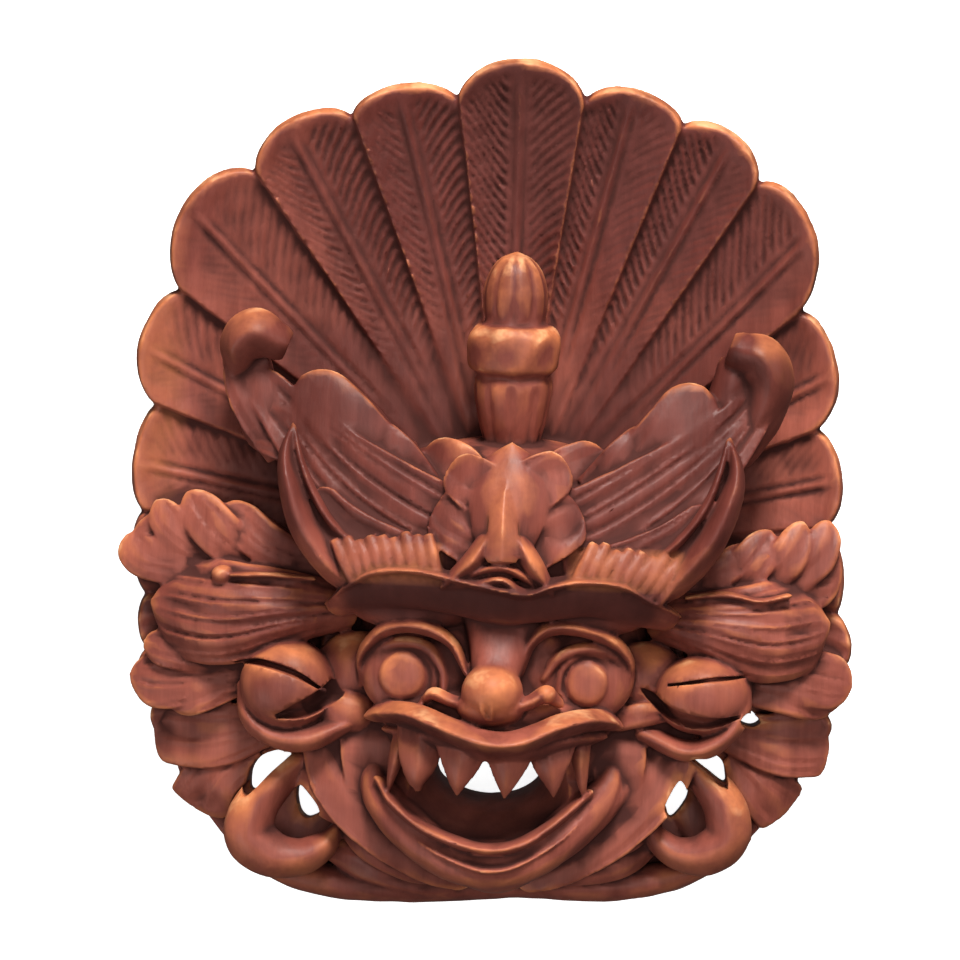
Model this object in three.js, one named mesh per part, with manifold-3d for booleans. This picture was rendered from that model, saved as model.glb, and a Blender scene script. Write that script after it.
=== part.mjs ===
// A Balinese guardian mask carved from one block of wood: a face with bared teeth, a leafy crown with a
// lotus bud, side leaves and curls, and a dished fan of feathers behind. It lies on its hollowed back.
// Millimetres. While it is shaped, X runs to the viewer's right, Y up the face and Z out of the face, with
// X = 0 on the nose and Z = 0 on the flat back. The last step moves the origin to the bottom of the box's
// centre.
import * as THREE from "three";
import { mergeVertices } from "three/addons/utils/BufferGeometryUtils.js";
import Module from "manifold-3d";

const wasm = await Module();
wasm.setup();

// ---- Driving sizes ----
const PLATE_THICKNESS = 13; // the fan and the leafy border behind the face
const PLATE_FLOOR = 30; // height of the plate's front at its middle
const DISH_RISE = 45; // how far the fan's front rises to a feather of full reach
const FULL_REACH = 200; // from the fan's middle to the top feather's tip
const DISH_SLOPE = (2 * DISH_RISE) / FULL_REACH; // at full reach
const RELIEF = 1.8; // half the height from a feather's quill to its hollows
const PLATE_HOLE = 12; // radius left open in the plate's middle, inside the head block
const FAN_CENTRE = [0, -26];
const LOBE_STEPS = 4; // facets along one lobe of the outline
const PLATE_RINGS = 3;
const LEAF_RISE = 5; // from a leaf's spine up to its front
const CUT_DEPTH = 400; // size of the block that trims the back flat
const BELOW_BACK = -10; // where blocks and cutters that cross the flat back begin
const PLUG_TOP = 80; // above the leafy border's front

// The block behind the face (its half sizes at the back and at the front), and the hollow cut into it
const HEAD = { at: [0, -80], radii: [84, 92], top: [78, 84], height: 40 };
const HOLLOW = { at: [0, -84, 0], radii: [60, 64, 58] };

// Facets round each kind of shape
const BAR_SIDES = 6;
const PLUG_SIDES = 8;
const BUD_SIDES = 8;
const MOUTH_SIDES = 14;
const BLOCK_SIDES = 20;
const BALL_FACETS = [9, 6];
const FINE_BALL_FACETS = [18, 11];
const BAR_STEPS = 1.25; // along a bar, for each stretch of its spine

const SAME_ANGLE = 1e-9;
const SAME_POINT = 1e-3;

const FORWARD = [0, 0, 1];
const UPWARD = [0, 1, 0];

// The outline, anticlockwise from the foot: each lobe's tip, then the notch that ends it.
const OUTLINE_START = [14, -171];
const OUTLINE = [
  { tip: [60, -171], notch: [88, -163] },
  { tip: [104, -153], notch: [115, -138] },
  { tip: [126, -126], notch: [125, -117] },
  { tip: [140, -102], notch: [138, -93] },
  { tip: [147, -83], notch: [144, -72] },
  { tip: [147, -62], notch: [140, -50] },
  { tip: [142, -30], notch: [134, -14] },
  { tip: [141, 7], notch: [129, 27], feather: true },
  { tip: [138, 50], notch: [120, 76], feather: true },
  { tip: [126, 109], notch: [100, 127], feather: true },
  { tip: [89, 151], notch: [68, 150], feather: true },
  { tip: [46, 167], notch: [26, 160], feather: true },
  { tip: [0, 177], notch: [-26, 160], feather: true },
  { tip: [-51, 166], notch: [-71, 151], feather: true },
  { tip: [-96, 149], notch: [-109, 125], feather: true },
  { tip: [-139, 112], notch: [-140, 76], feather: true },
  { tip: [-158, 50], notch: [-150, 28], feather: true },
  { tip: [-160, 4], notch: [-153, -17], feather: true },
  { tip: [-159, -33], notch: [-153, -51] },
  { tip: [-156, -64], notch: [-151, -75] },
  { tip: [-155, -86], notch: [-147, -98] },
  { tip: [-148, -108], notch: [-138, -119] },
  { tip: [-136, -130], notch: [-127, -139] },
  { tip: [-106, -163], notch: [-72, -177] },
  { tip: [-30, -176], notch: OUTLINE_START },
];

// ---- Leaves, as curved blades. Widths are half widths at the spine's points, from root to tip. The keel
// is how far a leaf's middle reaches down towards the plate. ----
const LEAVES = [
  // Ribbed ear leaves
  {
    spine: [[-62, -54, 60], [-90, -56, 72], [-120, -60, 70], [-144, -58, 56]],
    widths: [11, 17, 20, 12],
    keel: 26,
    cup: -7,
  },
  {
    spine: [[62, -54, 60], [88, -56, 72], [112, -59, 70], [133, -57, 56]],
    widths: [11, 15, 19, 12],
    keel: 26,
    cup: -7,
  },
  // Lobed leaves above the ears
  {
    spine: [[-70, -36, 60], [-104, -32, 62], [-132, -31, 62], [-157, -34, 61]],
    widths: [9, 12, 17, 13],
    keel: 14,
  },
  { spine: [[-98, -34, 60], [-118, -24, 64], [-133, -10, 60]], widths: [8, 9, 5], keel: 16 },
  { spine: [[-88, -34, 58], [-103, -25, 63], [-114, -13, 58]], widths: [7, 7, 5], keel: 18 },
  {
    spine: [[70, -36, 60], [98, -33, 62], [122, -31, 60], [141, -32, 56]],
    widths: [9, 11, 15, 14],
    keel: 14,
  },
  { spine: [[90, -34, 58], [101, -28, 63], [109, -18, 57]], widths: [8, 9, 6], keel: 18 },
  { spine: [[106, -32, 58], [117, -24, 62], [124, -13, 57]], widths: [7, 7, 4], keel: 16 },
  // Lobed leaves below the ears
  {
    spine: [[-88, -76, 52], [-118, -82, 56], [-140, -85, 55], [-155, -84, 53]],
    widths: [9, 12, 15, 9],
    keel: 13,
  },
  { spine: [[-118, -76, 54], [-136, -73, 58], [-149, -70, 55]], widths: [6, 8, 5], keel: 12 },
  { spine: [[-112, -86, 52], [-128, -94, 54], [-139, -99, 48]], widths: [6, 7, 4], keel: 12 },
  {
    spine: [[88, -74, 52], [112, -80, 56], [132, -82, 53], [146, -80, 50]],
    widths: [9, 10, 13, 11],
    keel: 13,
  },
  // Broad leaves beside the jaw, and those under it
  { spine: [[-88, -112, 46], [-70, -130, 58], [-50, -146, 54]], widths: [7, 11, 6], keel: 18, cup: -3 },
  { spine: [[82, -110, 46], [64, -126, 58], [44, -140, 54]], widths: [7, 11, 7], keel: 18, cup: -3 },
  { spine: [[-66, -140, 40], [-46, -153, 50], [-18, -166, 46]], widths: [8, 11, 6], keel: 20, cup: -3 },
  { spine: [[70, -140, 40], [48, -149, 52], [18, -160, 48]], widths: [8, 11, 7], keel: 20, cup: -3 },
  // Crown wings, which run up towards the sweeping leaves
  {
    spine: [[-8, -29, 96], [-38, -16, 94], [-64, 3, 87], [-88, 28, 76]],
    widths: [15, 22, 21, 13],
    keel: 26,
    cup: 5,
  },
  {
    spine: [[10, -29, 96], [42, -17, 94], [68, 1, 87], [90, 26, 76]],
    widths: [15, 22, 21, 13],
    keel: 26,
    cup: 5,
  },
  // Leaves sweeping out above the wings, with rounded lobes
  {
    spine: [[-22, -4, 62], [-55, 14, 68], [-88, 34, 68], [-104, 48, 72]],
    widths: [10, 15, 15, 10],
    keel: 20,
    cup: 2,
  },
  {
    spine: [[24, -4, 62], [56, 14, 68], [86, 34, 68], [102, 46, 72]],
    widths: [10, 15, 15, 10],
    keel: 20,
    cup: 2,
  },
  { spine: [[-64, 18, 66], [-76, 32, 70], [-84, 46, 66]], widths: [8, 11, 6], keel: 14 },
  { spine: [[62, 14, 66], [71, 30, 70], [79, 46, 66]], widths: [8, 11, 6], keel: 14 },
  { spine: [[-72, 26, 66], [-92, 24, 66], [-107, 22, 60]], widths: [7, 8, 4], keel: 14 },
  // Side lobes and ridge of the crown's centre piece
  { spine: [[0, -12, 96], [-14, -10, 96], [-24, -12, 90]], widths: [10, 12, 7], keel: 14 },
  { spine: [[2, -10, 96], [16, -8, 96], [28, -7, 90]], widths: [10, 12, 6], keel: 14 },
  {
    spine: [[2, -40, 106], [2, -24, 108], [3, -4, 100], [3, 15, 86]],
    widths: [17, 7, 9, 8],
    keel: 18,
    cup: -6,
  },
];

// Curled leaves roll about a fixed axis, so the axis is given instead of a facing.
const CURLS = [
  {
    spine: [[-92, 36, 66], [-107, 50, 72], [-112, 60, 86], [-102, 60, 95]],
    widths: [12, 12, 10, 7],
    keel: 5,
    axis: [0.55, -0.75, 0],
  },
  {
    spine: [[88, 32, 66], [102, 48, 72], [104, 60, 86], [94, 60, 95]],
    widths: [12, 12, 10, 7],
    keel: 5,
    axis: [0.5, 0.8, 0],
  },
];

// ---- Rolls: swept ovals. Across is the half width in the face's plane, deep the half depth. ----
const ROLLS = [
  // Brow band, upper lip and the horns that rise from the brow's corners
  {
    spine: [
      [-65, -50, 78], [-46, -43, 94], [-22, -45, 100], [0, -49, 102], [22, -45, 100], [45, -44, 94],
      [64, -50, 78],
    ],
    across: [4, 6, 6, 6, 6, 6, 4],
    deep: [6, 12, 13, 13, 13, 12, 6],
  },
  {
    spine: [[-48, -93, 84], [-26, -97, 104], [0, -105, 114], [24, -98, 104], [46, -93, 84]],
    across: [3, 5, 5, 5, 3],
    deep: [6, 10, 11, 10, 6],
  },
  {
    spine: [[-58, -46, 82], [-78, -26, 89], [-88, 0, 92], [-87, 22, 92]],
    across: [5, 7, 5, 1.5],
    deep: [8, 12, 10, 3],
  },
  {
    spine: [[58, -47, 82], [80, -28, 89], [93, 0, 92], [91, 22, 92]],
    across: [5, 7, 5, 1.5],
    deep: [8, 12, 10, 3],
  },
  // Lower jaw, its cheek folds and the mouth's corners
  {
    spine: [
      [-50, -112, 66], [-43, -132, 82], [-23, -149, 96], [0, -157, 100], [20, -150, 96],
      [37, -132, 82], [45, -112, 66],
    ],
    across: [7, 9, 10, 10, 10, 9, 7],
    deep: [9, 11, 12, 13, 12, 11, 9],
  },
  {
    spine: [[-64, -114, 58], [-50, -135, 66], [-24, -157, 68], [0, -166, 62]],
    across: [9, 9, 9, 7],
    deep: [10, 12, 14, 14],
  },
  {
    spine: [[62, -110, 58], [46, -132, 66], [22, -155, 68], [0, -166, 62]],
    across: [9, 9, 9, 7],
    deep: [10, 12, 14, 14],
  },
  { spine: [[-41, -100, 84], [-40, -114, 84], [-44, -128, 80]], across: [4, 4, 4], deep: [8, 6, 5] },
  { spine: [[38, -100, 84], [36, -113, 84], [38, -130, 80]], across: [4, 5, 4], deep: [8, 9, 9] },
  // Hooked curls of the lower corners
  {
    spine: [
      [-78, -116, 46], [-92, -127, 54], [-102, -146, 54], [-90, -159, 54], [-76, -160, 52],
      [-68, -148, 46],
    ],
    across: [5, 6, 11, 7, 6, 4],
    deep: [8, 9, 9, 9, 8, 6],
  },
  {
    spine: [
      [74, -112, 46], [89, -122, 54], [95, -140, 54], [85, -152, 54], [72, -153, 52], [63, -142, 46],
    ],
    across: [5, 6, 9, 7, 6, 4],
    deep: [8, 9, 9, 9, 8, 6],
  },
  // Band along the foot of the border
  {
    spine: [[-102, -160, 30], [-66, -170, 35], [0, -167, 36], [58, -167, 36], [96, -153, 31]],
    across: [5, 6, 7, 6, 5],
    deep: [10, 13, 14, 13, 10],
  },
  // Lower rims of the round cheek bosses
  {
    spine: [[-107, -92, 58], [-99, -106, 64], [-84, -112, 64], [-64, -105, 62]],
    across: [3, 5, 6, 6],
    deep: [5, 7, 8, 8],
  },
  {
    spine: [[100, -86, 58], [95, -100, 64], [80, -107, 64], [60, -100, 62]],
    across: [3, 5, 6, 6],
    deep: [5, 7, 8, 8],
  },
  // Nose wing on the right, and the eyelids
  { spine: [[4, -90, 104], [14, -87, 104], [24, -85, 100]], across: [4, 3, 4], deep: [5, 4, 4] },
  {
    spine: [[-53, -80, 76], [-47, -67, 88], [-34, -62, 93], [-21, -70, 92], [-18, -82, 88]],
    across: [3, 3, 3, 3, 2],
    deep: [5, 5, 5, 5, 4],
  },
  {
    spine: [[50, -80, 76], [46, -67, 88], [34, -62, 93], [22, -70, 92], [20, -82, 88]],
    across: [3, 3, 3, 3, 2],
    deep: [5, 5, 5, 5, 4],
  },
];

// ---- Round masses: those the openings cut through, then those that stand on them ----
const MASSES = [
  { at: [0, -86, 22], radii: [68, 74, 72], fine: true }, // face
  { at: [0, -24, 36], radii: [72, 44, 64], fine: true }, // crown
  { at: [0, -102, 72], radii: [48, 18, 38] }, // muzzle
  { at: [0, -136, 48], radii: [54, 33, 50] }, // jaw
];
const BALLS = [
  { at: [0, -62, 84], radii: [12, 26, 18] }, // bridge of the nose
  { at: [-2, -84, 102], radii: [13, 12, 17] }, // tip of the nose
  { at: [-19, -89, 100], radii: [9, 5, 6] }, // nose wing
  { at: [-38, -80, 82], radii: [13, 13, 13] }, // eyes
  { at: [37, -80, 82], radii: [13, 13, 13] },
  { at: [-88, -87, 66], radii: [20, 19, 20] }, // cheek bosses
  { at: [84, -85, 66], radii: [20, 17, 20] },
  { at: [-62, -92, 58], radii: [20, 14, 18] }, // necks that join them to the face
  { at: [60, -92, 58], radii: [20, 13, 18] },
];

// Teeth: root centre, half width of the root, and tip.
const TEETH = [
  { root: [-30, -104, 92], half: 9, tip: [-32, -125, 94] },
  { root: [-13, -107, 98], half: 9, tip: [-14, -126, 100] },
  { root: [6, -107, 98], half: 9, tip: [5, -126, 100] },
  { root: [23, -104, 92], half: 9, tip: [25, -126, 94] },
];
const TOOTH_DEPTH = 7; // thickness at the neck
const TOOTH_ROOT = 6; // from the root centre up to the root's edge
const TOOTH_NECK = 4; // and down to the neck

// Lotus bud on the fan: radius and distance along its axis, which leans forward from the crown.
const BUD_PROFILE = [
  [0, 0], [10, 0], [14, 18], [15, 32], [18, 38], [18, 48], [14, 52], [13, 62], [13, 70], [9, 82], [0, 90],
];
const BUD_FOOT = [2, 8, 48];
const BUD_TILT = THREE.MathUtils.degToRad(8);

// Openings right through: centre and half sizes in the face's plane.
const PIERCINGS = [
  { at: [-95, -127], half: [11, 10] },
  { at: [-80, -139], half: [8, 9] },
  { at: [89, -117], half: [9, 7] },
  { at: [76, -131], half: [6, 10] },
  { at: [105, -95], half: [6, 4] },
];
// The mouth narrows from its front rim to the opening in the hollow behind.
const MOUTH = {
  spine: [[-3, -121, 10], [-3, -121, 52], [-2, -126, 90], [-2, -126, 130]],
  across: [25, 25, 36, 40],
  deep: [14, 14, 20, 22],
};

// ---- Building blocks ----
const vector = (point) => new THREE.Vector3(...point);
const curveThrough = (points) => new THREE.CatmullRomCurve3(points.map(vector), false, "catmullrom", 0.5);
const smooth = (values) => {
  const curve = curveThrough(values.map((value) => [value, 0, 0]));
  return (u) => curve.getPoint(u).x;
};

// The closed geometry of these triangles, turned so that its faces point out.
function closed(points, faces) {
  const volume = faces.reduce(
    (sum, [a, b, c]) => sum + points[a].dot(points[b].clone().cross(points[c])),
    0,
  );
  const turned = volume < 0 ? faces.map(([a, b, c]) => [a, c, b]) : faces;
  return new THREE.BufferGeometry().setFromPoints(points).setIndex(turned.flat());
}

// A manifold solid from a closed geometry.
function solid(geometry) {
  const bare = geometry.clone();
  bare.deleteAttribute("normal");
  bare.deleteAttribute("uv");
  const merged = mergeVertices(bare, SAME_POINT);
  return new wasm.Manifold(
    new wasm.Mesh({
      numProp: 3,
      vertProperties: merged.attributes.position.array,
      triVerts: new Uint32Array(merged.index.array),
    }),
  );
}

// Joins two matching grids of points into one closed shell. A ring's rows close on themselves.
function shell(front, back, ring = false) {
  const rows = front.length;
  const columns = front[0].length;
  const at = (side, i, j) => (side * rows + (i % rows)) * columns + j;
  const faces = [];
  const quad = (a, b, c, d) => faces.push([a, b, c], [a, c, d]);
  const lastRow = ring ? rows : rows - 1;
  for (let i = 0; i < lastRow; i++) {
    for (let j = 0; j < columns - 1; j++) {
      quad(at(0, i, j), at(0, i + 1, j), at(0, i + 1, j + 1), at(0, i, j + 1));
      quad(at(1, i, j), at(1, i, j + 1), at(1, i + 1, j + 1), at(1, i + 1, j));
    }
    quad(at(0, i, 0), at(1, i, 0), at(1, i + 1, 0), at(0, i + 1, 0));
    const j = columns - 1;
    quad(at(0, i, j), at(0, i + 1, j), at(1, i + 1, j), at(1, i, j));
  }
  for (let j = 0; j < columns - 1 && !ring; j++) {
    quad(at(0, 0, j), at(0, 0, j + 1), at(1, 0, j + 1), at(1, 0, j));
    const i = rows - 1;
    quad(at(0, i, j), at(1, i, j), at(1, i, j + 1), at(0, i, j + 1));
  }
  return closed([...front.flat(), ...back.flat()], faces);
}

// A leaf: a curved blade, thickest along its middle. A positive cup raises its edges.
function leaf({ spine, widths, keel, cup = 0, facing = FORWARD, axis = null }) {
  const EDGE_SHARE = 0.3;
  const lengthwise = spine.length;
  const path = curveThrough(spine);
  const halfWidth = smooth(widths);
  const front = [];
  const back = [];
  for (let i = 0; i <= lengthwise; i++) {
    const u = i / lengthwise;
    const tangent = path.getTangent(u);
    const side = axis ? vector(axis).normalize() : tangent.clone().cross(vector(facing)).normalize();
    const normal = side.clone().cross(tangent).normalize();
    const row = [];
    for (const v of [-1, 0, 1]) {
      const middle = path.getPoint(u).addScaledVector(side, v * halfWidth(u));
      const fullness = EDGE_SHARE + (1 - EDGE_SHARE) * (1 - v * v);
      row.push([
        middle.clone().addScaledVector(normal, cup * v * v + LEAF_RISE * fullness),
        middle.clone().addScaledVector(normal, cup * v * v - keel * fullness),
      ]);
    }
    front.push(row.map(([top]) => top));
    back.push(row.map(([, bottom]) => bottom));
  }
  return shell(front, back);
}

// A roll: an oval swept along a curve, with domed ends.
function roll({ spine, across, deep, facing = FORWARD, sides = BAR_SIDES }) {
  const steps = Math.ceil(BAR_STEPS * (spine.length - 1));
  const path = curveThrough(spine);
  const halfWidth = smooth(across);
  const halfDepth = smooth(deep);
  const points = [];
  const faces = [];
  for (let i = 0; i <= steps; i++) {
    const u = i / steps;
    const tangent = path.getTangent(u);
    const side = tangent.clone().cross(vector(facing)).normalize();
    const normal = side.clone().cross(tangent).normalize();
    for (let k = 0; k < sides; k++) {
      const turn = (2 * Math.PI * k) / sides;
      points.push(
        path
          .getPoint(u)
          .addScaledVector(side, halfWidth(u) * Math.cos(turn))
          .addScaledVector(normal, halfDepth(u) * Math.sin(turn)),
      );
    }
    for (let k = 0; k < sides && i > 0; k++) {
      const next = (k + 1) % sides;
      const [here, there] = [(i - 1) * sides, i * sides];
      faces.push([here + k, here + next, there + next], [here + k, there + next, there + k]);
    }
  }
  const domed = (u, sign) =>
    path.getPoint(u).addScaledVector(path.getTangent(u), (sign * halfWidth(u)) / 2);
  const first = points.push(domed(0, -1)) - 1;
  const last = points.push(domed(1, 1)) - 1;
  for (let k = 0; k < sides; k++) {
    const next = (k + 1) % sides;
    faces.push([first, next, k], [last, steps * sides + k, steps * sides + next]);
  }
  return closed(points, faces);
}

function ball({ at, radii, fine = false }) {
  const facets = fine ? FINE_BALL_FACETS : BALL_FACETS;
  const geometry = new THREE.SphereGeometry(1, ...facets);
  return geometry.scale(...radii).translate(...at);
}

// A tooth: a four-sided spike, broad at the root.
function tooth({ root, half, tip }) {
  const [x, y, z] = root;
  const points = [
    [x - half, y + TOOTH_ROOT, z],
    [x + half, y + TOOTH_ROOT, z],
    [x + half, y - TOOTH_NECK, z + TOOTH_DEPTH / 2],
    [x - half, y - TOOTH_NECK, z + TOOTH_DEPTH / 2],
    [x - half, y - TOOTH_NECK, z - TOOTH_DEPTH],
    [x + half, y - TOOTH_NECK, z - TOOTH_DEPTH],
    tip,
  ].map(vector);
  const faces = [
    [0, 3, 2], [0, 2, 1], [0, 1, 5], [0, 5, 4], [0, 4, 3], [1, 2, 5],
    [3, 6, 2], [2, 6, 5], [5, 6, 4], [4, 6, 3],
  ];
  return closed(points, faces);
}

function lotusBud() {
  const profile = BUD_PROFILE.map(([radius, along]) => new THREE.Vector2(radius, along));
  return new THREE.LatheGeometry(profile, BUD_SIDES).rotateX(BUD_TILT).translate(...BUD_FOOT);
}

// A straight-walled oval plug, for piercing.
function plug({ at: [x, y], half: [across, deep] }) {
  return roll({
    spine: [[x, y, BELOW_BACK], [x, y, PLUG_TOP]],
    across: [across, across],
    deep: [deep, deep],
    facing: UPWARD,
    sides: PLUG_SIDES,
  });
}

// ---- The plate: fan above, leafy border below ----
const HALF_TURN = Math.PI;
const polar = ([x, y]) => {
  const [dx, dy] = [x - FAN_CENTRE[0], y - FAN_CENTRE[1]];
  const start = Math.atan2(OUTLINE_START[1] - FAN_CENTRE[1], OUTLINE_START[0] - FAN_CENTRE[0]);
  const angle = Math.atan2(dy, dx);
  return { angle: angle < start - SAME_ANGLE ? angle + 2 * HALF_TURN : angle, reach: Math.hypot(dx, dy) };
};

const DISH_FULL_TO = THREE.MathUtils.degToRad(85); // from the top
const DISH_GONE_BY = THREE.MathUtils.degToRad(150);
// Share of the full dish at an angle: all of it over the fan, none at the foot.
function dishShare(angle) {
  const fromTop = Math.abs(angle - HALF_TURN / 2);
  return 1 - THREE.MathUtils.smoothstep(fromTop, DISH_FULL_TO, DISH_GONE_BY);
}

function plate() {
  const front = [];
  const back = [];
  const LOBE_ROUNDNESS = 0.65;
  const RELIEF_GROWTH = 1.5; // full relief from two thirds of the way out
  let from = polar(OUTLINE_START);
  OUTLINE.forEach(({ tip, notch, feather }, index) => {
    const top = polar(tip);
    const to = polar(notch);
    if (index === OUTLINE.length - 1) to.angle += 2 * HALF_TURN;
    const topShare = (top.angle - from.angle) / (to.angle - from.angle);
    const bulge = top.reach - THREE.MathUtils.lerp(from.reach, to.reach, topShare);
    for (let k = 0; k < LOBE_STEPS; k++) {
      const share = k / LOBE_STEPS;
      const angle = THREE.MathUtils.lerp(from.angle, to.angle, share);
      const scallop = Math.pow(4 * share * (1 - share), LOBE_ROUNDNESS);
      const reach = THREE.MathUtils.lerp(from.reach, to.reach, share) + bulge * scallop;
      const dish = dishShare(angle);
      const inset = PLATE_THICKNESS * DISH_SLOPE * dish * (reach / FULL_REACH);
      const ridge = feather ? RELIEF * Math.cos(4 * HALF_TURN * share) : 0;
      const frontRow = [];
      const backRow = [];
      for (let ring = 0; ring <= PLATE_RINGS; ring++) {
        const out = ring / PLATE_RINGS;
        const place = (distance, height) =>
          new THREE.Vector3(
            FAN_CENTRE[0] + distance * Math.cos(angle),
            FAN_CENTRE[1] + distance * Math.sin(angle),
            height,
          );
        const frontReach = THREE.MathUtils.lerp(PLATE_HOLE, reach - inset, out);
        const backReach = THREE.MathUtils.lerp(PLATE_HOLE, reach, out);
        const height = PLATE_FLOOR + DISH_RISE * dish * (frontReach / FULL_REACH) ** 2;
        frontRow.push(place(frontReach, height + ridge * Math.min(1, out * RELIEF_GROWTH)));
        backRow.push(place(backReach, height - PLATE_THICKNESS));
      }
      front.push(frontRow);
      back.push(backRow);
    }
    from = to;
  });
  return shell(front, back, true);
}

// The block behind the face, flat at the back, which the hollow is cut from.
function headBlock() {
  const [x, y] = HEAD.at;
  return roll({
    spine: [[x, y, BELOW_BACK], [x, y, HEAD.height]],
    across: [HEAD.radii[0], HEAD.top[0]],
    deep: [HEAD.radii[1], HEAD.top[1]],
    facing: UPWARD,
    sides: BLOCK_SIDES,
  });
}

// ---- Carving order: block and plate, cut the openings, add what stands over them, flatten the back ----
function carve() {
  const join = (parts) => parts.map(solid).reduce((whole, part) => whole.add(part));
  const mass = join([headBlock(), plate(), ...MASSES.map(ball)]);
  const opened = PIERCINGS.map(plug)
    .concat(ball({ ...HOLLOW, fine: true }), roll({ ...MOUTH, facing: UPWARD, sides: MOUTH_SIDES }))
    .map(solid)
    .reduce((whole, cutter) => whole.subtract(cutter), mass);
  const added = join([
    ...BALLS.map(ball),
    ...LEAVES.map(leaf),
    ...CURLS.map(leaf),
    ...ROLLS.map((piece) => roll(piece)),
    ...TEETH.map(tooth),
    lotusBud(),
  ]);
  const below = new THREE.BoxGeometry(CUT_DEPTH, CUT_DEPTH, CUT_DEPTH).translate(0, 0, -CUT_DEPTH / 2);
  return opened.add(added).subtract(solid(below));
}

function geometryOf(manifold) {
  const { vertProperties, triVerts } = manifold.getMesh();
  const geometry = new THREE.BufferGeometry();
  geometry.setAttribute("position", new THREE.BufferAttribute(new Float32Array(vertProperties), 3));
  geometry.setIndex(new THREE.BufferAttribute(new Uint32Array(triVerts), 1));
  geometry.computeVertexNormals();
  return geometry;
}

const wood = new THREE.MeshStandardMaterial({ color: 0x7a4436, roughness: 0.5, metalness: 0 });
const mask = new THREE.Mesh(geometryOf(carve()), wood);
mask.name = "mask";

// The origin goes to the middle of the box's underside.
mask.geometry.computeBoundingBox();
const box = mask.geometry.boundingBox;
mask.position.set(-(box.min.x + box.max.x) / 2, -(box.min.y + box.max.y) / 2, -box.min.z);

const group = new THREE.Group();
group.add(mask);
export default group;
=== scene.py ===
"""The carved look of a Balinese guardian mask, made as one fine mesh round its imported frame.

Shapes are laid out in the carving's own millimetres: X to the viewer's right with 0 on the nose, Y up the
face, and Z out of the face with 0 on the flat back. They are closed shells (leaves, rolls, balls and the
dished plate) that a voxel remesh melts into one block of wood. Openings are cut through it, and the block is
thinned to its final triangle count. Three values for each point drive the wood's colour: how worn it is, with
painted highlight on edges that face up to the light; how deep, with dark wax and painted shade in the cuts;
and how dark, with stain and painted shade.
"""

import math

import bpy
import numpy as np
from mathutils import Matrix, Vector


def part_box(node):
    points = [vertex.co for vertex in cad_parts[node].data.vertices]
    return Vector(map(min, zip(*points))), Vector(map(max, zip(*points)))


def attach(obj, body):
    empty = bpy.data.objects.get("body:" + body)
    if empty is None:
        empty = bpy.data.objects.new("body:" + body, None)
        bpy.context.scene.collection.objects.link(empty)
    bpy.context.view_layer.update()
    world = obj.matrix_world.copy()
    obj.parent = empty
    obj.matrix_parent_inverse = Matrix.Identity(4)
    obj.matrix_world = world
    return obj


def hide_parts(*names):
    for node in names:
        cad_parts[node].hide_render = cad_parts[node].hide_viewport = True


MM = 0.001
VOXEL = 0.75
STEP = 0.8  # spacing of the points on a shell
TRIANGLES = 192_000

FORWARD = np.array([0.0, 0.0, 1.0])

# The plate behind the face: a dished fan above and a leafy border below
FAN_CENTRE = np.array([0.0, -26.0])
FULL_REACH = 200.0
PLATE_THICKNESS = 12.0
PLATE_FLOOR = 30.0
DISH_RISE = 45.0
DISH_FULL_TO = math.radians(85)  # to each side of the top
DISH_GONE_BY = math.radians(150)
RIM_SLANT = 0.5  # how square the rim's wall is to the dish
RIM_BEVEL = 1.8
RIM_BEVEL_DEPTH = 1.4
LOBE_ROUNDNESS = 0.62
PLATE_HOLE = 12.0
PLAIN_TO = 20.0  # the plate's carving fades in between these distances from the fan's centre
CARVED_FROM = 60.0
BARB_SPACING = 4.7
BARB_DEPTH = 3.4
CARVED_LOW = np.array([-160.0, -177.0, 0.0])  # lowest corner of the carving in its own millimetres

# Outline, anticlockwise from the foot: each lobe's tip and the notch that ends it. A feather also has the
# depth of the barbs on the side met first and on the other side.
OUTLINE_START = (14, -170.5)
OUTLINE = [
    ((56, -170), (88, -162)),
    ((104, -151), (115.5, -137)),
    ((126, -126), (125.5, -117)),
    ((140, -101), (137.5, -93)),
    ((146.5, -83), (144.5, -72)),
    ((147, -62), (140, -50)),
    ((142.5, -30), (134.5, -14)),
    ((141, 6), (129, 27), (0.15, 0.15)),
    ((137.5, 51), (120, 76), (0.1, 0.2)),
    ((125, 109), (100, 128), (0.2, 0.55)),
    ((91, 148), (68, 151), (0.5, 1.0)),
    ((48, 166), (27, 160.5), (0.35, 1.15)),
    ((0, 177), (-26, 160), (0.75, 1.0)),
    ((-51, 165), (-70, 151), (1.0, 0.6)),
    ((-98, 148), (-109.5, 126), (0.9, 0.7)),
    ((-139, 113), (-140, 76), (0.3, 0.2)),
    ((-158, 53), (-150, 28), (0.25, 0.15)),
    ((-159.5, 3), (-154, -17), (0.25, 0.15)),
    ((-158.5, -33), (-152, -52)),
    ((-155.5, -65), (-151, -75)),
    ((-155, -86), (-147, -98)),
    ((-149, -107), (-138, -121)),
    ((-135, -131), (-126.5, -139)),
    ((-108, -162.5), (-72, -176.5)),
    ((-30, -175.5), OUTLINE_START),
]

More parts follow.
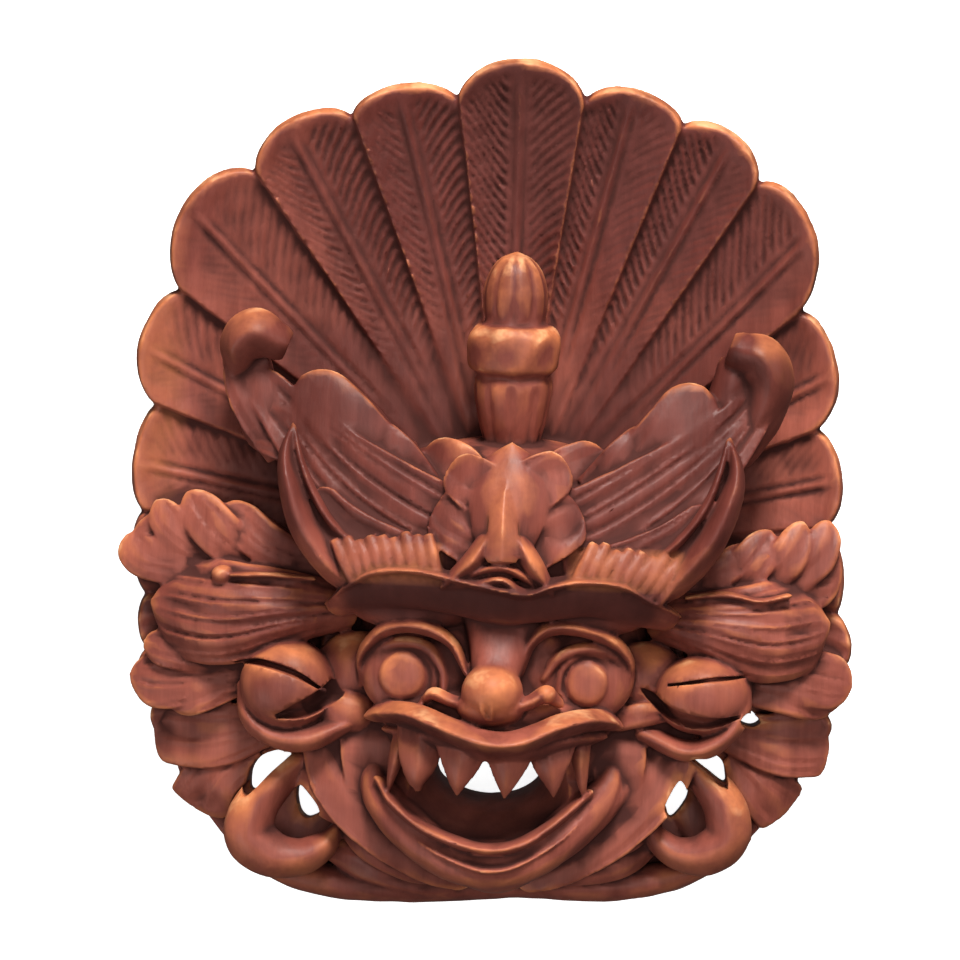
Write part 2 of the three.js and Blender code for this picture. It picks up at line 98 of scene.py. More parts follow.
# Leaves: spine, half widths from root to tip, and shape. The keel is how far the middle reaches down.
LEAVES = [
    # Ribbed ear leaves
    ([(-62, -54, 62), (-88, -55, 74), (-118, -58, 73), (-145, -55, 60)], [9, 16, 22, 19], dict(keel=26,
     rise=6, cup=-8, grooves=7, depth=2.6, tip=0.12, fan=0.45)),
    ([(62, -54, 62), (86, -56, 74), (110, -58, 73), (134, -54, 60)], [9, 15, 21, 18], dict(keel=26, rise=6,
     cup=-8, grooves=7, depth=2.2, tip=0.12, fan=0.45)),
    # Lobed leaves above the ears
    ([(-70, -36, 60), (-104, -33, 62), (-132, -31, 62), (-157, -33, 60)], [7, 11, 16, 14], dict(grooves=5,
     tip=0.2, fan=0.5)),
    ([(-104, -36, 60), (-120, -24, 66), (-133, -9, 62)], [8, 10, 8], dict(keel=16, grooves=3, depth=1)),
    ([(-122, -36, 60), (-138, -24, 64), (-146, -13, 61)], [7, 8, 6], dict(grooves=2, depth=0.9)),
    ([(-84, -36, 60), (-102, -27, 65), (-116, -13, 60)], [7, 9, 7], dict(keel=18, grooves=4, depth=1.3)),
    ([(-134, -40, 62), (-150, -36, 63), (-158, -28, 60)], [8, 9, 7], dict(keel=12, grooves=2, depth=0.9)),
    ([(70, -38, 60), (98, -36, 62), (122, -33, 60), (140, -32, 56)], [8, 11, 15, 15], dict(grooves=5,
     depth=1.1, tip=0.2, fan=0.5)),
    ([(80, -38, 60), (92, -32, 65), (101, -24, 60)], [6, 7, 5], dict(keel=18, grooves=2, depth=0.9)),
    ([(92, -38, 60), (103, -29, 65), (110, -17, 60)], [7, 9, 6], dict(keel=18, grooves=3, depth=1)),
    ([(108, -38, 60), (118, -26, 64), (123, -13, 59)], [7, 8, 5], dict(keel=16, grooves=2, depth=0.9)),
    ([(118, -38, 60), (130, -26, 62), (134, -12, 57)], [7, 8, 6], dict(grooves=2, depth=0.9)),
    # Lobed leaves below the ears
    ([(-88, -78, 52), (-118, -84, 57), (-140, -87, 57), (-155, -86, 53)], [7, 9, 13, 9], dict(keel=13,
     grooves=4, depth=1.3, tip=0.25, fan=0.4)),
    ([(-118, -80, 56), (-136, -75, 61), (-149, -72, 57)], [5, 8, 7], dict(grooves=2, tip=0.35)),
    ([(-112, -88, 54), (-126, -93, 58), (-138, -97, 54)], [6, 8, 7], dict(tip=0.35)),
    ([(88, -76, 52), (108, -82, 57), (126, -85, 56), (136, -91, 50)], [8, 8, 9, 6], dict(grooves=2,
     depth=1.1, tip=0.25)),
    ([(104, -74, 54), (124, -76, 57), (146, -80, 52)], [7, 12, 11], dict(keel=13, grooves=4, depth=0.9,
     tip=0.2, fan=0.5)),
    # Leaves of the lower border that fall away from the cheek bosses
    ([(-98, -106, 40), (-122, -111, 45), (-146, -110, 40)], [9, 14, 13], dict(keel=12, grooves=3, depth=1.1,
     tip=0.15, fan=0.4)),
    ([(-104, -116, 38), (-120, -128, 42), (-128, -142, 34)], [9, 12, 14], dict(keel=12, grooves=3, depth=1,
     tip=0.12, fan=0.4)),
    ([(96, -102, 40), (118, -106, 45), (138, -106, 39)], [8, 13, 13], dict(keel=12, grooves=3, depth=1.1,
     tip=0.15, fan=0.4)),
    ([(98, -112, 38), (110, -124, 42), (121, -134, 35)], [8, 11, 13], dict(keel=12, grooves=2, depth=1,
     tip=0.12, fan=0.4)),
    # Flat folds of the cheeks that end at the chin, and the walls of the mouth's corners
    ([(-74, -108, 60), (-63, -126, 66), (-46, -144, 66), (-27, -159, 62), (-10, -168, 56)], [9, 14, 13, 9,
     4], dict(keel=26, rise=3, edge=0.9, tip=0.06)),
    ([(76, -100, 60), (66, -120, 66), (48, -141, 66), (28, -158, 62), (11, -168, 56)], [9, 14, 13, 9, 4],
     dict(keel=26, rise=3, edge=0.9, tip=0.06)),
    ([(-53, -97, 66), (-54, -112, 69), (-53, -132, 67)], [9, 11, 8], dict(keel=20, rise=2, edge=0.9,
     grooves=0, tip=0.06)),
    ([(50, -97, 66), (51, -112, 69), (50, -130, 67)], [9, 11, 8], dict(keel=20, rise=2, edge=0.9, grooves=0,
     tip=0.06)),
    # Petals beside the jaw
    ([(-88, -116, 48), (-74, -128, 62), (-57, -145, 60)], [4, 10, 8], dict(keel=20, cup=-4, grooves=0)),
    ([(-66, -138, 46), (-50, -150, 58), (-22, -166, 56)], [6, 11, 8], dict(keel=22, cup=-3, tip=0.2)),
    ([(-74, -157, 36), (-52, -162, 50), (-16, -171, 48)], [4, 8, 7], dict(keel=18, cup=-2, grooves=2,
     depth=1, tip=0.2)),
    ([(80, -112, 48), (66, -124, 62), (46, -139, 62)], [4, 10, 8], dict(keel=20, cup=-4, depth=1)),
    ([(68, -138, 48), (52, -146, 58), (26, -151, 58)], [4, 8, 8], dict(keel=20, cup=-3, tip=0.25)),
    ([(70, -146, 42), (50, -156, 53), (16, -160, 54)], [4, 9, 9], dict(keel=20, cup=-3, depth=1, tip=0.2)),
    # Crown wings, cut by long sweeping grooves, that run up into the lobed leaves
    ([(-4, -28, 97), (-34, -20, 96), (-62, -3, 89), (-86, 20, 82), (-106, 42, 76)], [17, 22, 19, 12, 7],
     dict(keel=28, cup=2, grooves=6, depth=2.2, tip=0.08, fan=0.25)),
    ([(8, -28, 97), (38, -21, 96), (66, -3, 89), (90, 20, 82), (106, 42, 76)], [17, 22, 19, 12, 7],
     dict(keel=28, cup=2, grooves=6, depth=2.2, tip=0.08, fan=0.25)),
    ([(-22, -34, 98), (-44, -30, 97), (-64, -20, 94), (-76, -6, 90)], [8, 10, 9, 5], dict(keel=24, cup=2,
     grooves=2, depth=1.8, tip=0.1)),
    ([(26, -36, 98), (50, -32, 97), (70, -22, 94), (83, -8, 90)], [8, 10, 9, 5], dict(keel=24, cup=2,
     grooves=2, depth=1.8, tip=0.1)),
    # Rounded lobes along the upper edges of the wings
    ([(-44, 0, 84), (-66, 20, 87), (-85, 41, 82)], [12, 15, 12], dict(keel=28, rise=3, cup=-1, depth=1.4,
     tip=0.22)),
    ([(-34, -4, 84), (-47, 9, 87), (-58, 22, 82)], [9, 11, 7], dict(keel=26, rise=3, tip=0.25)),
    ([(-74, 10, 80), (-92, 17, 83), (-109, 21, 76)], [9, 11, 8], dict(keel=22, rise=3, grooves=2,
     tip=0.25)),
    ([(48, 0, 84), (67, 20, 87), (80, 42, 82)], [12, 14, 11], dict(keel=28, rise=3, cup=-1, tip=0.22)),
    ([(36, -4, 84), (50, 9, 87), (61, 24, 82)], [9, 11, 8], dict(keel=26, rise=3, tip=0.25)),
    # Stem of the left hook
    ([(-92, 8, 80), (-102, 26, 81), (-108, 42, 79), (-106, 54, 78)], [7, 10, 10, 7], dict(keel=24, rise=3,
     tip=0.15)),
    # Small leaves between the crown's centre piece and the fan
    ([(-8, -8, 78), (-20, 6, 82), (-33, 12, 75)], [9, 10, 7], dict(keel=22, rise=3, depth=1.1, tip=0.25)),
    ([(12, -8, 78), (26, 6, 82), (40, 13, 75)], [9, 10, 7], dict(keel=22, rise=3, depth=1.1, tip=0.25)),
    # Centre piece of the crown: its lobed leaves, then the plain shield over them
    ([(0, -28, 101), (-14, -18, 106), (-27, -11, 101)], [11, 14, 11], dict(keel=24, rise=2, cup=1, edge=0.9,
     grooves=2, depth=1.6, tip=0.2)),
    ([(0, -10, 101), (-11, -1, 105), (-22, 5, 100)], [10, 11, 8], dict(keel=24, rise=2, cup=1, edge=0.9,
     depth=1.4, tip=0.22)),
    ([(4, -28, 101), (18, -18, 106), (31, -10, 101)], [12, 14, 11], dict(keel=24, rise=2, cup=1, edge=0.9,
     grooves=2, depth=1.6, tip=0.2)),
    ([(4, -8, 101), (15, 1, 105), (26, 7, 100)], [10, 11, 8], dict(keel=24, rise=2, cup=1, edge=0.9,
     depth=1.4, tip=0.22)),
    ([(1, -33, 111), (2, -18, 111), (3, -2, 108), (3, 15, 100)], [9, 14, 17, 16], dict(keel=24, rise=4,
     cup=-6, edge=0.95, grooves=0, tip=0.35)),
    # Small leaf between the right boss and the lip
    ([(70, -93, 66), (58, -94, 72), (46, -98, 68)], [3, 5, 4], dict(depth=1.1, tip=0.2)),
]

# Rolls: spine, half widths seen from the front, half depths, and the crest and the facing where they differ
ROLLS = [
    # Blunt hooked tips of the leaves that sweep out over the fan
    ([(-112, 46, 76), (-110, 54, 82), (-104, 58, 85), (-96, 55, 84)], [7, 10, 10.5, 8], [9, 12, 12, 9],
     1.35),
    ([(95, 16, 70), (104, 31, 76), (107, 45, 81), (103, 54, 84), (95, 57, 84)], [8, 9, 10, 10, 8], [9, 10,
     11, 11, 8], 1.35),
    ([(86, 30, 72), (91, 42, 76), (92, 50, 76)], [6, 8, 7], [8, 9, 8], 1.1),
    # Brow band: an overhanging strap that looks down, its upper edge, and a fold below it
    ([(-67, -53, 80), (-57, -47.5, 92), (-45, -44, 98), (-32, -43.5, 101), (-14, -46, 103), (2, -48.5, 104),
     (16, -47, 103), (34, -44.5, 101), (46, -45.5, 98), (58, -50, 92), (68, -54, 80)], [5, 8, 9.5, 9.5, 9.5,
     9.5, 9.5, 9.5, 9.5, 8, 5], [4, 5, 6, 6, 6, 6, 6, 6, 6, 5, 4], 0.8, (0, -0.6, 0.8)),
    ([(-68, -49, 76), (-58, -42, 93), (-48, -37.5, 101), (-32, -37, 105), (-14, -40.5, 108),
     (2, -43.5, 109), (12, -44.5, 109), (22, -41, 108), (34, -39, 105), (48, -40, 101), (59, -45, 93),
     (69, -50, 76)], [1.6, 2.2, 2.4, 2.4, 2.4, 2.4, 2.4, 2.4, 2.4, 2.4, 2.2, 1.6], [8, 10, 10, 10, 10, 10,
     10, 10, 10, 10, 10, 8]),
    # Legs of the centre piece and the nested arches between them
    ([(-6, -24, 110), (-11, -32, 111), (-21, -41, 106)], [4, 4.5, 2.5], [8, 9, 8]),
    ([(8, -24, 110), (13, -32, 111), (20, -42, 106)], [4, 4.5, 2.5], [8, 9, 8]),
    ([(-16, -41, 106), (-8, -36, 110), (1, -34, 112), (9, -37, 110), (15, -42, 106)], [1.5, 2.0, 2.2, 2.0,
     1.5], [5, 6, 7, 6, 5]),
    ([(-22, -43, 105), (-10, -41, 110), (1, -39, 112), (8, -43, 111), (16, -44, 107)], [1.5, 1.9, 2.0, 1.9,
     1.5], [5, 6, 7, 6, 5]),
    # Horns: a blade that rises from each corner of the brow, and the ridge along its inner edge
    ([(-58, -46, 84), (-70, -36, 90), (-81, -20, 94), (-87, -3, 95), (-89, 9, 95), (-87, 21, 93)], [4, 6,
     6.5, 5.0, 3.2, 0.8], [8, 13, 14, 13, 9, 2.5], 1.3),
    ([(-56, -29, 97), (-68, -20, 99), (-77, -7, 99), (-83, 7, 98), (-86, 20, 95)], [1.4, 1.8, 1.9, 1.6,
     0.8], [3, 4, 4, 3, 2]),
    ([(58, -47, 84), (71, -38, 90), (84, -22, 94), (92, -4, 95), (94, 8, 95), (91, 21, 93)], [4, 6, 6.5,
     5.0, 3.2, 0.8], [8, 13, 14, 13, 9, 2.5], 1.3),
    ([(58, -32, 97), (71, -22, 99), (81, -9, 99), (87, 6, 98), (90, 20, 95)], [1.4, 1.8, 1.9, 1.6, 0.8], [3,
     4, 4, 3, 2]),
    # Ridge down the shield, between two grooves
    ([(2, 8, 104), (1, -8, 112), (1, -20, 116), (1, -27, 117)], [4, 5.5, 6.5, 8], [3, 4, 5, 4], 1.8),
    # Bridge of the nose, flat across
    ([(1, -46, 84), (1, -60, 88), (0, -74, 95), (-1, -84, 102)], [19, 15, 11, 9], [13, 13, 12, 12], 0.65),
    # Folds over the eyes
    ([(-57, -83, 70), (-56, -72, 81), (-48, -62.5, 89), (-38, -59.5, 92.5), (-27, -61, 94),
     (-18, -67, 94.5), (-12.5, -78, 94)], [1.6, 2.6, 3.2, 3.2, 3.2, 2.6, 1.4], [6, 7, 7, 7, 7, 7, 6]),
    ([(54, -83, 70), (53, -71, 81), (45, -62.5, 89), (33, -58.5, 93), (21, -58.5, 94.5), (13, -65, 95),
     (9.5, -77, 94)], [1.6, 2.6, 3.2, 3.2, 3.2, 2.6, 1.4], [6, 7, 7, 7, 7, 7, 6]),
    # Lids: a rim round each eye, and the fold that runs from the left one to the nose
    ([(-45, -93, 78), (-52, -86, 78), (-53.5, -77, 80), (-48, -69.5, 83), (-38, -66.5, 87),
     (-28, -69.5, 88), (-22.5, -78, 88), (-22, -87, 89)], [1.8, 2.6, 2.8, 2.8, 2.8, 2.8, 2.6, 1.8], [4, 5,
     5, 5, 5, 5, 5, 4], 1.1),
    ([(-29, -90.5, 84), (-26, -84, 86), (-27, -76, 87), (-32, -70.5, 87), (-40, -69, 85), (-48, -74, 83),
     (-50, -82, 82)], [1.4, 1.8, 2.0, 2.0, 2.0, 1.8, 1.4], [3, 3.5, 3.5, 3.5, 3.5, 3.5, 3]),
    ([(19, -79, 88), (25, -70.5, 89), (36, -66.5, 88), (47, -69.5, 84), (53, -78, 80), (50, -88, 79),
     (44, -93, 80)], [1.8, 2.6, 2.8, 2.8, 2.8, 2.6, 1.8], [5, 5, 5, 5, 5, 5, 4], 1.1),
    ([(25, -84, 87), (26.5, -75, 88), (34, -69.3, 88), (43, -70.5, 86), (48.5, -78, 83), (47, -86, 82),
     (40, -91.5, 83), (31, -90.5, 85), (25, -84, 87)], [2.0, 2.0], [3.5, 3.5]),
    # Upper lip, turned up at its ends, and the gum under it
    ([(-50, -97, 78), (-44, -95.5, 88), (-34, -95.5, 97), (-22, -99, 105), (-8, -103.5, 110),
     (2, -105, 111), (12, -103.5, 110), (24, -98.5, 105), (35, -95.5, 97), (43, -95.5, 88), (47, -97, 78)],
     [3.5, 4.6, 5, 5.2, 5.2, 5.2, 5.2, 5.2, 5, 4.4, 3.5], [6, 8, 10, 11, 11, 11, 11, 11, 10, 8, 6]),
    ([(-44, -103, 78), (-26, -104, 96), (-8, -108, 104), (3, -109, 106), (14, -108, 104), (28, -104, 96),
     (42, -103, 78)], [2, 4, 4, 4, 4, 4, 2], [5, 7, 7, 7, 7, 7, 5]),
    # Nose: wings and the small ridges under its tip
    ([(6, -91, 106), (14, -88, 106), (20, -85, 104), (25, -88, 99)], [3, 3, 3.6, 2.5], [5, 5, 5, 4]),
    ([(-10, -91, 102), (-18, -89, 101), (-25, -86.5, 98), (-29, -89, 93)], [2.6, 2.8, 2.8, 1.8], [5, 5, 5,
     4]),
    ([(-5.5, -88, 117), (-5, -92, 116), (-3, -95, 113)], [0.8, 0.9, 0.7], [1.6, 1.8, 1.5]),
    ([(-1, -87, 117.5), (-1, -92, 116), (-1, -95, 113)], [0.8, 0.9, 0.7], [1.6, 1.8, 1.5]),
    # Lower jaw: the inner rim, the folds of the lower lip that run down to the chin
    ([(-47, -126, 74), (-40, -134, 81), (-26, -143, 88), (-5, -149, 92), (11, -147, 91), (24, -139, 87),
     (38, -127, 79)], [2, 2.4, 2.4, 2.4, 2.4, 2.4, 2], [8, 9, 9, 9, 9, 9, 8], 1.2),
    ([(-51, -110, 58), (-50, -127, 65), (-40, -139, 73), (-23, -152, 80), (-2, -158, 83), (18, -152, 81),
     (34, -138, 74), (46, -125, 66), (48, -108, 58)], [1.5, 6, 9, 9, 9, 9, 9, 6, 1.5], [6, 10, 12, 12, 12,
     12, 12, 10, 6], 0.8),
    ([(-44, -137, 80), (-28, -149, 88), (-12, -156, 93), (0, -158, 95), (12, -155, 93), (28, -145, 88),
     (41, -132, 80)], [0.8, 1.3, 1.5, 1.5, 1.5, 1.3, 0.8], [3, 4, 4, 4, 4, 4, 3]),
    ([(-36, -149, 77), (-22, -155.5, 85), (-8, -161, 89), (2, -162.5, 90), (12, -160.5, 89), (24, -152, 85),
     (36, -143, 77)], [0.8, 1.3, 1.5, 1.5, 1.5, 1.3, 0.8], [3, 4, 4, 4, 4, 4, 3]),
    ([(-60, -116, 50), (-52, -128, 59), (-41, -139, 66), (-26, -150, 72), (-10, -160, 76), (2, -163, 77),
     (14, -158, 76), (33, -144, 70), (50, -127, 61), (60, -113, 50)], [2, 5.5, 7, 7, 6, 6, 6, 7, 5.5, 2],
     [6, 11, 13, 13, 13, 13, 13, 13, 11, 6], 0.8),
    # Band along the foot of the border
    ([(-112, -152, 30), (-94, -166, 33), (-68, -172, 36), (-30, -172, 38), (10, -169, 38), (48, -168.5, 38),
     (80, -162, 36), (104, -147, 30)], [4, 6, 7, 7, 6.5, 7, 6, 4], [9, 12, 13, 13, 13, 13, 12, 9], 0.9),
    # Hooked curls of the lower corners
    ([(-79, -118, 50), (-89, -125, 56), (-100, -138, 58), (-103, -151, 58), (-94, -159, 57),
     (-82, -160, 56), (-72, -155, 54), (-67, -148, 50)], [3.5, 7, 9.5, 11, 10, 8, 6, 3], [8, 10, 10, 10, 10,
     9, 8, 6], 1.2),
    ([(75, -113, 50), (85, -119, 56), (95, -131, 58), (97, -144, 58), (88, -152, 57), (76, -152, 55),
     (67, -146, 52), (63, -141, 50)], [3.5, 7, 9, 9.5, 9, 7, 5, 2.5], [8, 10, 10, 10, 10, 9, 8, 6], 1.2),
    # Lower rims of the cheek bosses
    ([(-107, -90, 62), (-103, -101, 68), (-93, -108, 71), (-79, -109, 72), (-64, -103, 68)], [3, 4.5, 5,
     5.5, 4], [7, 9, 10, 10, 9], 1.15),
    ([(102, -80, 64), (100, -93, 69), (91, -104, 71), (78, -108, 71), (61, -102, 66)], [2.5, 4, 4.5, 4.5,
     4], [7, 9, 10, 10, 8], 1.15),
    # Thin ridges over the ears
    ([(-112, -42, 76), (-96, -41.5, 76), (-78, -42.5, 74)], [1.2, 1.4, 0.9], [5, 6, 4]),
    ([(118, -42.5, 74), (106, -45, 76), (92, -43, 75), (76, -45, 73)], [1.3, 1.5, 1.6, 1], [5, 6, 6, 4]),
]

# Round masses that the openings cut through, and those that stand on them: middle, radii and flatness
MASSES = [
    ((0, -86, 22), (67, 74, 70)),
    ((0, -24, 36), (72, 44, 64)),
    ((0, -98, 70), (48, 16, 34)),
    ((0, -136, 42), (52, 31, 48)),
]
BALLS = [
    ((-1.5, -84.5, 104), (12.5, 11.5, 15.5)),  # tip of the nose
    ((-2, -91, 102), (14, 8, 13)),
    ((-18, -76, 76), (14, 18, 15), 0.8),  # flesh beside the nose
    ((17, -76, 76), (14, 18, 15), 0.8),
    ((-35, -51.5, 77), (28, 11, 20), 0.8),  # swellings over the eyes
    ((35, -51.5, 77), (27, 11, 20), 0.8),
    ((-38, -79, 75), (19, 19, 14), 0.6),  # eyes, and the discs raised on them
    ((-39, -80, 85), (10, 10, 6.5), 0.45),
    ((36, -79, 75), (19, 19, 14), 0.6),
    ((36.5, -80.5, 85), (9, 9.6, 6.5), 0.45),
    ((-88, -87, 66), (20, 19, 22), 0.85),  # cheek bosses
    ((84, -85, 66), (20, 16.5, 22), 0.85),
    ((-63, -97, 64), (12, 11, 13)),  # knobs and necks beside them
    ((-60, -80, 58), (18, 16, 16)),
    ((60, -80, 58), (18, 16, 16)),
    ((60, -98, 56), (16, 8, 14)),
    ((-116, -42, 74), (5, 4, 6)),
    ((20.5, -84.5, 106), (4.2, 3.8, 4.5)),
]

# Teeth: centre line from root to tip, and half widths along it
TEETH = [
    ([(-30, -102, 94), (-30.5, -113, 98), (-31, -121, 98), (-30.5, -125.5, 97)], [9.2, 7.6, 4.2, 1.6]),
    ([(-13, -104, 101), (-13, -112, 104), (-14, -121, 104), (-14.3, -127, 102)], [10.6, 8.2, 4.0, 0.6]),
    ([(6, -104, 101), (6, -112, 104), (5.4, -121, 104), (5, -127.3, 102)], [10.6, 8.2, 4.0, 0.6]),
    ([(23.5, -102, 95), (23, -112, 99), (24, -120, 98), (24.6, -126.5, 97)], [9.2, 7.4, 3.8, 0.6]),
    ([(-38, -103, 84), (-40, -112, 88), (-42, -121, 87), (-43.5, -128, 84)], [3.5, 3, 2, 0.6]),
    ([(34.5, -103, 85), (35, -112, 89), (36, -121, 88), (37, -128.5, 85)], [4, 3.4, 2, 0.6]),
]

TOOTH_FLARE = 1.12
TOOTH_DEPTHS = [5.5, 5, 3.4, 1.0]

# Ribbed bands along the feet of the crown wings: first and last slat's foot and top, and how many
SLATS = [
    dict(first=((-60, -41, 99), (-67, -27, 98)), last=((-25, -38, 106), (-29, -23, 105)), count=9,
     across=2.5),
    dict(first=((31, -38, 106), (37, -25, 104)), last=((65, -45, 97), (76, -31, 96)), count=9, across=2.5),
]
SLAT_DEPTHS = [5, 5, 4]

# Lotus bud: (radius, distance along its axis), which leans forward from the crown
BUD_PROFILE = [(0, 0), (9, 0), (12, 10), (15, 22), (16.5, 33), (15.5, 38), (18.6, 41), (19.3, 47), (19, 54),
               (16.5, 58), (12.8, 60), (13.4, 66), (13.4, 73), (11, 81), (6.5, 86.5), (0, 89.5)]
BUD_FOOT = (1, 8, 52)
BUD_TILT = math.radians(9)
BUD_FLUTES = 10
FLUTE_DEPTH = 0.9

# Openings right through, as smooth closed outlines seen from the front
PIERCINGS = [
    [(-105, -135), (-106, -126), (-100, -119), (-87, -116.5), (-92, -122)],
    [(-81, -129.5), (-86, -133), (-86, -140), (-84, -145), (-80, -146), (-73.5, -140)],
    [(80, -112), (88, -111), (94, -114), (96, -120), (95.5, -124), (88, -119)],
    [(76, -121), (80, -127), (80, -132), (74, -140), (71.5, -136), (70.5, -131)],
    [(100, -94.5), (103, -91.5), (107.5, -94), (109.5, -97), (106, -99), (101.5, -97.5)],
]
# Rolls that are cut out: the slits and the hollows of the cheek bosses
SLITS = [
    ([(-107, -78, 68), (-98, -77.5, 83), (-84, -81, 88), (-72, -88, 78)], [0.8, 1.7, 1.7, 0.8], [5, 7, 7,
     6]),
    ([(-90, -99, 81), (-78, -95, 82), (-68, -88, 73)], [1.5, 4.8, 4.5], [5, 9, 10], 1.3),
    ([(98, -93, 76), (85, -95.5, 83), (72, -92.5, 80), (63, -86, 69)], [1.2, 3.2, 3.4, 2], [5, 8, 8, 8],
     1.3),
    ([(101, -76.5, 72), (88, -77.5, 86), (70, -80.5, 81)], [0.6, 1.1, 0.6], [4, 5, 5]),
]

# Level sections (centre, half width, half height) of the block behind the face and of the mouth
HEAD_BLOCK = [(0, -80, -2, 83, 91), (0, -80, 20, 83, 91), (0, -80, 40, 77, 84)]
MOUTH = [(-4, -119, -5, 21, 12), (-4, -119, 30, 21, 12), (-4, -120, 56, 24, 14), (-4, -124, 80, 36, 21),
         (-4, -127, 100, 41, 22), (-4, -130, 130, 46, 26)]
HOLLOW = ((0, -84, 0), (58, 62, 60))
PIERCING_LOW = -60
PIERCING_HIGH = 110
UNDER_FLOOR = -70
UNDER_HALF_WIDTH = 250

# Unevenness that the knife leaves
KNIFE_WAVES = 9
KNIFE_DEPTH = 0.04

# Camera, in metres and radians
VIEW_MIDDLE = Vector((-0.0056, 0.0008, 0.05))
VIEW_DISTANCE = 1.35
VIEW_WIDTH = 0.389
VIEW_LEAN = math.radians(2.5)
VIEW_ROLL = math.radians(2.0)
MIDDLE_TO_FEATHERS = 0.05
SENSOR = 36


# ---- Curves and shells ----
def spline(points, u):
    """Catmull-Rom through the points, at parameters from 0 to 1."""
    p = np.asarray(points, float).reshape(len(points), -1)
    p = np.vstack([2 * p[0] - p[1], p, 2 * p[-1] - p[-2]])
    t = np.clip(u, 0, 1) * (len(p) - 3)
    i = np.minimum(t.astype(int), len(p) - 4)
    f = (t - i)[:, None]
    a, b, c, d = p[i], p[i + 1], p[i + 2], p[i + 3]
    return 0.5 * (2 * b + (c - a) * f + (2 * a - 5 * b + 4 * c - d) * f**2 + (3 * b - a - 3 * c + d) * f**3)


def unit(vectors):
    return vectors / np.maximum(np.linalg.norm(vectors, axis=-1, keepdims=True), 1e-9)


def smoothstep(x, low, high):
    t = np.clip((x - low) / (high - low), 0, 1)
    return t * t * (3 - 2 * t)


def window(values, start, full, fade, end):
    """1 from full to fade, easing to 0 at start and at end."""
    return smoothstep(values, start, full) * (1 - smoothstep(values, fade, end))


def frame_along(spine, facing):
    """Evenly spaced points along a spine, with the directions across it and out of it."""
    rough = spline(spine, np.linspace(0, 1, 60))
    length = np.linalg.norm(np.diff(rough, axis=0), axis=1).sum()
    u = np.linspace(0, 1, max(8, int(length / STEP)))
    centre = spline(spine, u)
    tangent = unit(np.gradient(centre, axis=0))
    side = unit(np.cross(tangent, facing))
    return u, centre, side, unit(np.cross(side, tangent)), tangent


def tube(rings, closed=False):
    """A closed shell through rings of points. Its ends are capped unless it closes on itself."""
    count, around, _ = rings.shape
    points = rings.reshape(-1, 3)
    i = np.arange(count if closed else count - 1)[:, None] * around
    j = np.arange(around)[None, :]
    k = (j + 1) % around
    n = (i + around) % (count * around)
    quads = np.stack(np.broadcast_arrays(i + j, i + k, n + k, n + j), -1).reshape(-1, 4)
    triangles = np.vstack([quads[:, [0, 1, 2]], quads[:, [0, 2, 3]]])
    if not closed:
        first, last = len(points), len(points) + 1
        points = np.vstack([points, rings[0].mean(0), rings[-1].mean(0)])
        j = np.arange(around)
        k = (j + 1) % around
        base = (count - 1) * around
        start = np.stack([np.full(around, first), k, j], 1)
        end = np.stack([np.full(around, last), base + j, base + k], 1)
        triangles = np.vstack([triangles, start, end])
    return points, triangles


def leaf(spine, widths, keel=14, rise=4.5, cup=0, edge=0.72, grooves=1, depth=1.2, tip=0.3,
         fan=0):
    """A leaf with V-cut grooves along it. The share named tip rounds its end, and fan spreads the grooves."""
    u, centre, side, normal, _ = frame_along(spine, FORWARD)
    width = spline(widths, u)[:, 0]
    over = np.clip((u - (1 - tip)) / tip, 0, 1)
    width = np.maximum(width * np.sqrt(np.maximum(1 - over**2, 0)), 0.6)
    across = max(10, int(4 * max(widths) / STEP))
    v = np.linspace(-1, 1, across)
    full = edge + (1 - edge) * np.sqrt(np.maximum(1 - np.abs(v) ** 3.5, 0))
    top = rise * np.tile(full, (len(u), 1))
    if grooves:
        spread = v[None, :] * (1 + fan * (1 - u[:, None]))
        wobble = 0.06 * np.sin(5 * u[:, None] + 2.1 * spread)
        phase = (grooves + 1) * (spread + wobble + 1) / 2
        phase = phase + 0.22 * np.sin(2.3 * grooves * spread + 3 * u[:, None])
        line = np.round(phase)
        uneven = 0.7 + 0.3 * np.sin(2.7 * line + 2.5 * u[:, None])
        cut = np.maximum(0, 1 - np.abs(phase - line) * 2.4) * uneven
        inside = smoothstep(1 - np.abs(v), 0.04, 0.2)[None, :]
        along = (smoothstep(u, 0.02, 0.18) * (1 - 0.75 * smoothstep(u, 0.8, 1.0)))[:, None]
        top = top - depth * cut * inside * along
    flat = centre[:, None] + side[:, None] * (v[None, :, None] * width[:, None, None])
    lift = cup * v**2
    front = flat + normal[:, None] * (lift + top)[..., None]
    back = flat + normal[:, None] * (lift - keel * full)[None, :, None]
    return tube(np.concatenate([front, back[:, ::-1]], axis=1))


def power(values, exponent):
    return np.sign(values) * np.abs(values) ** exponent


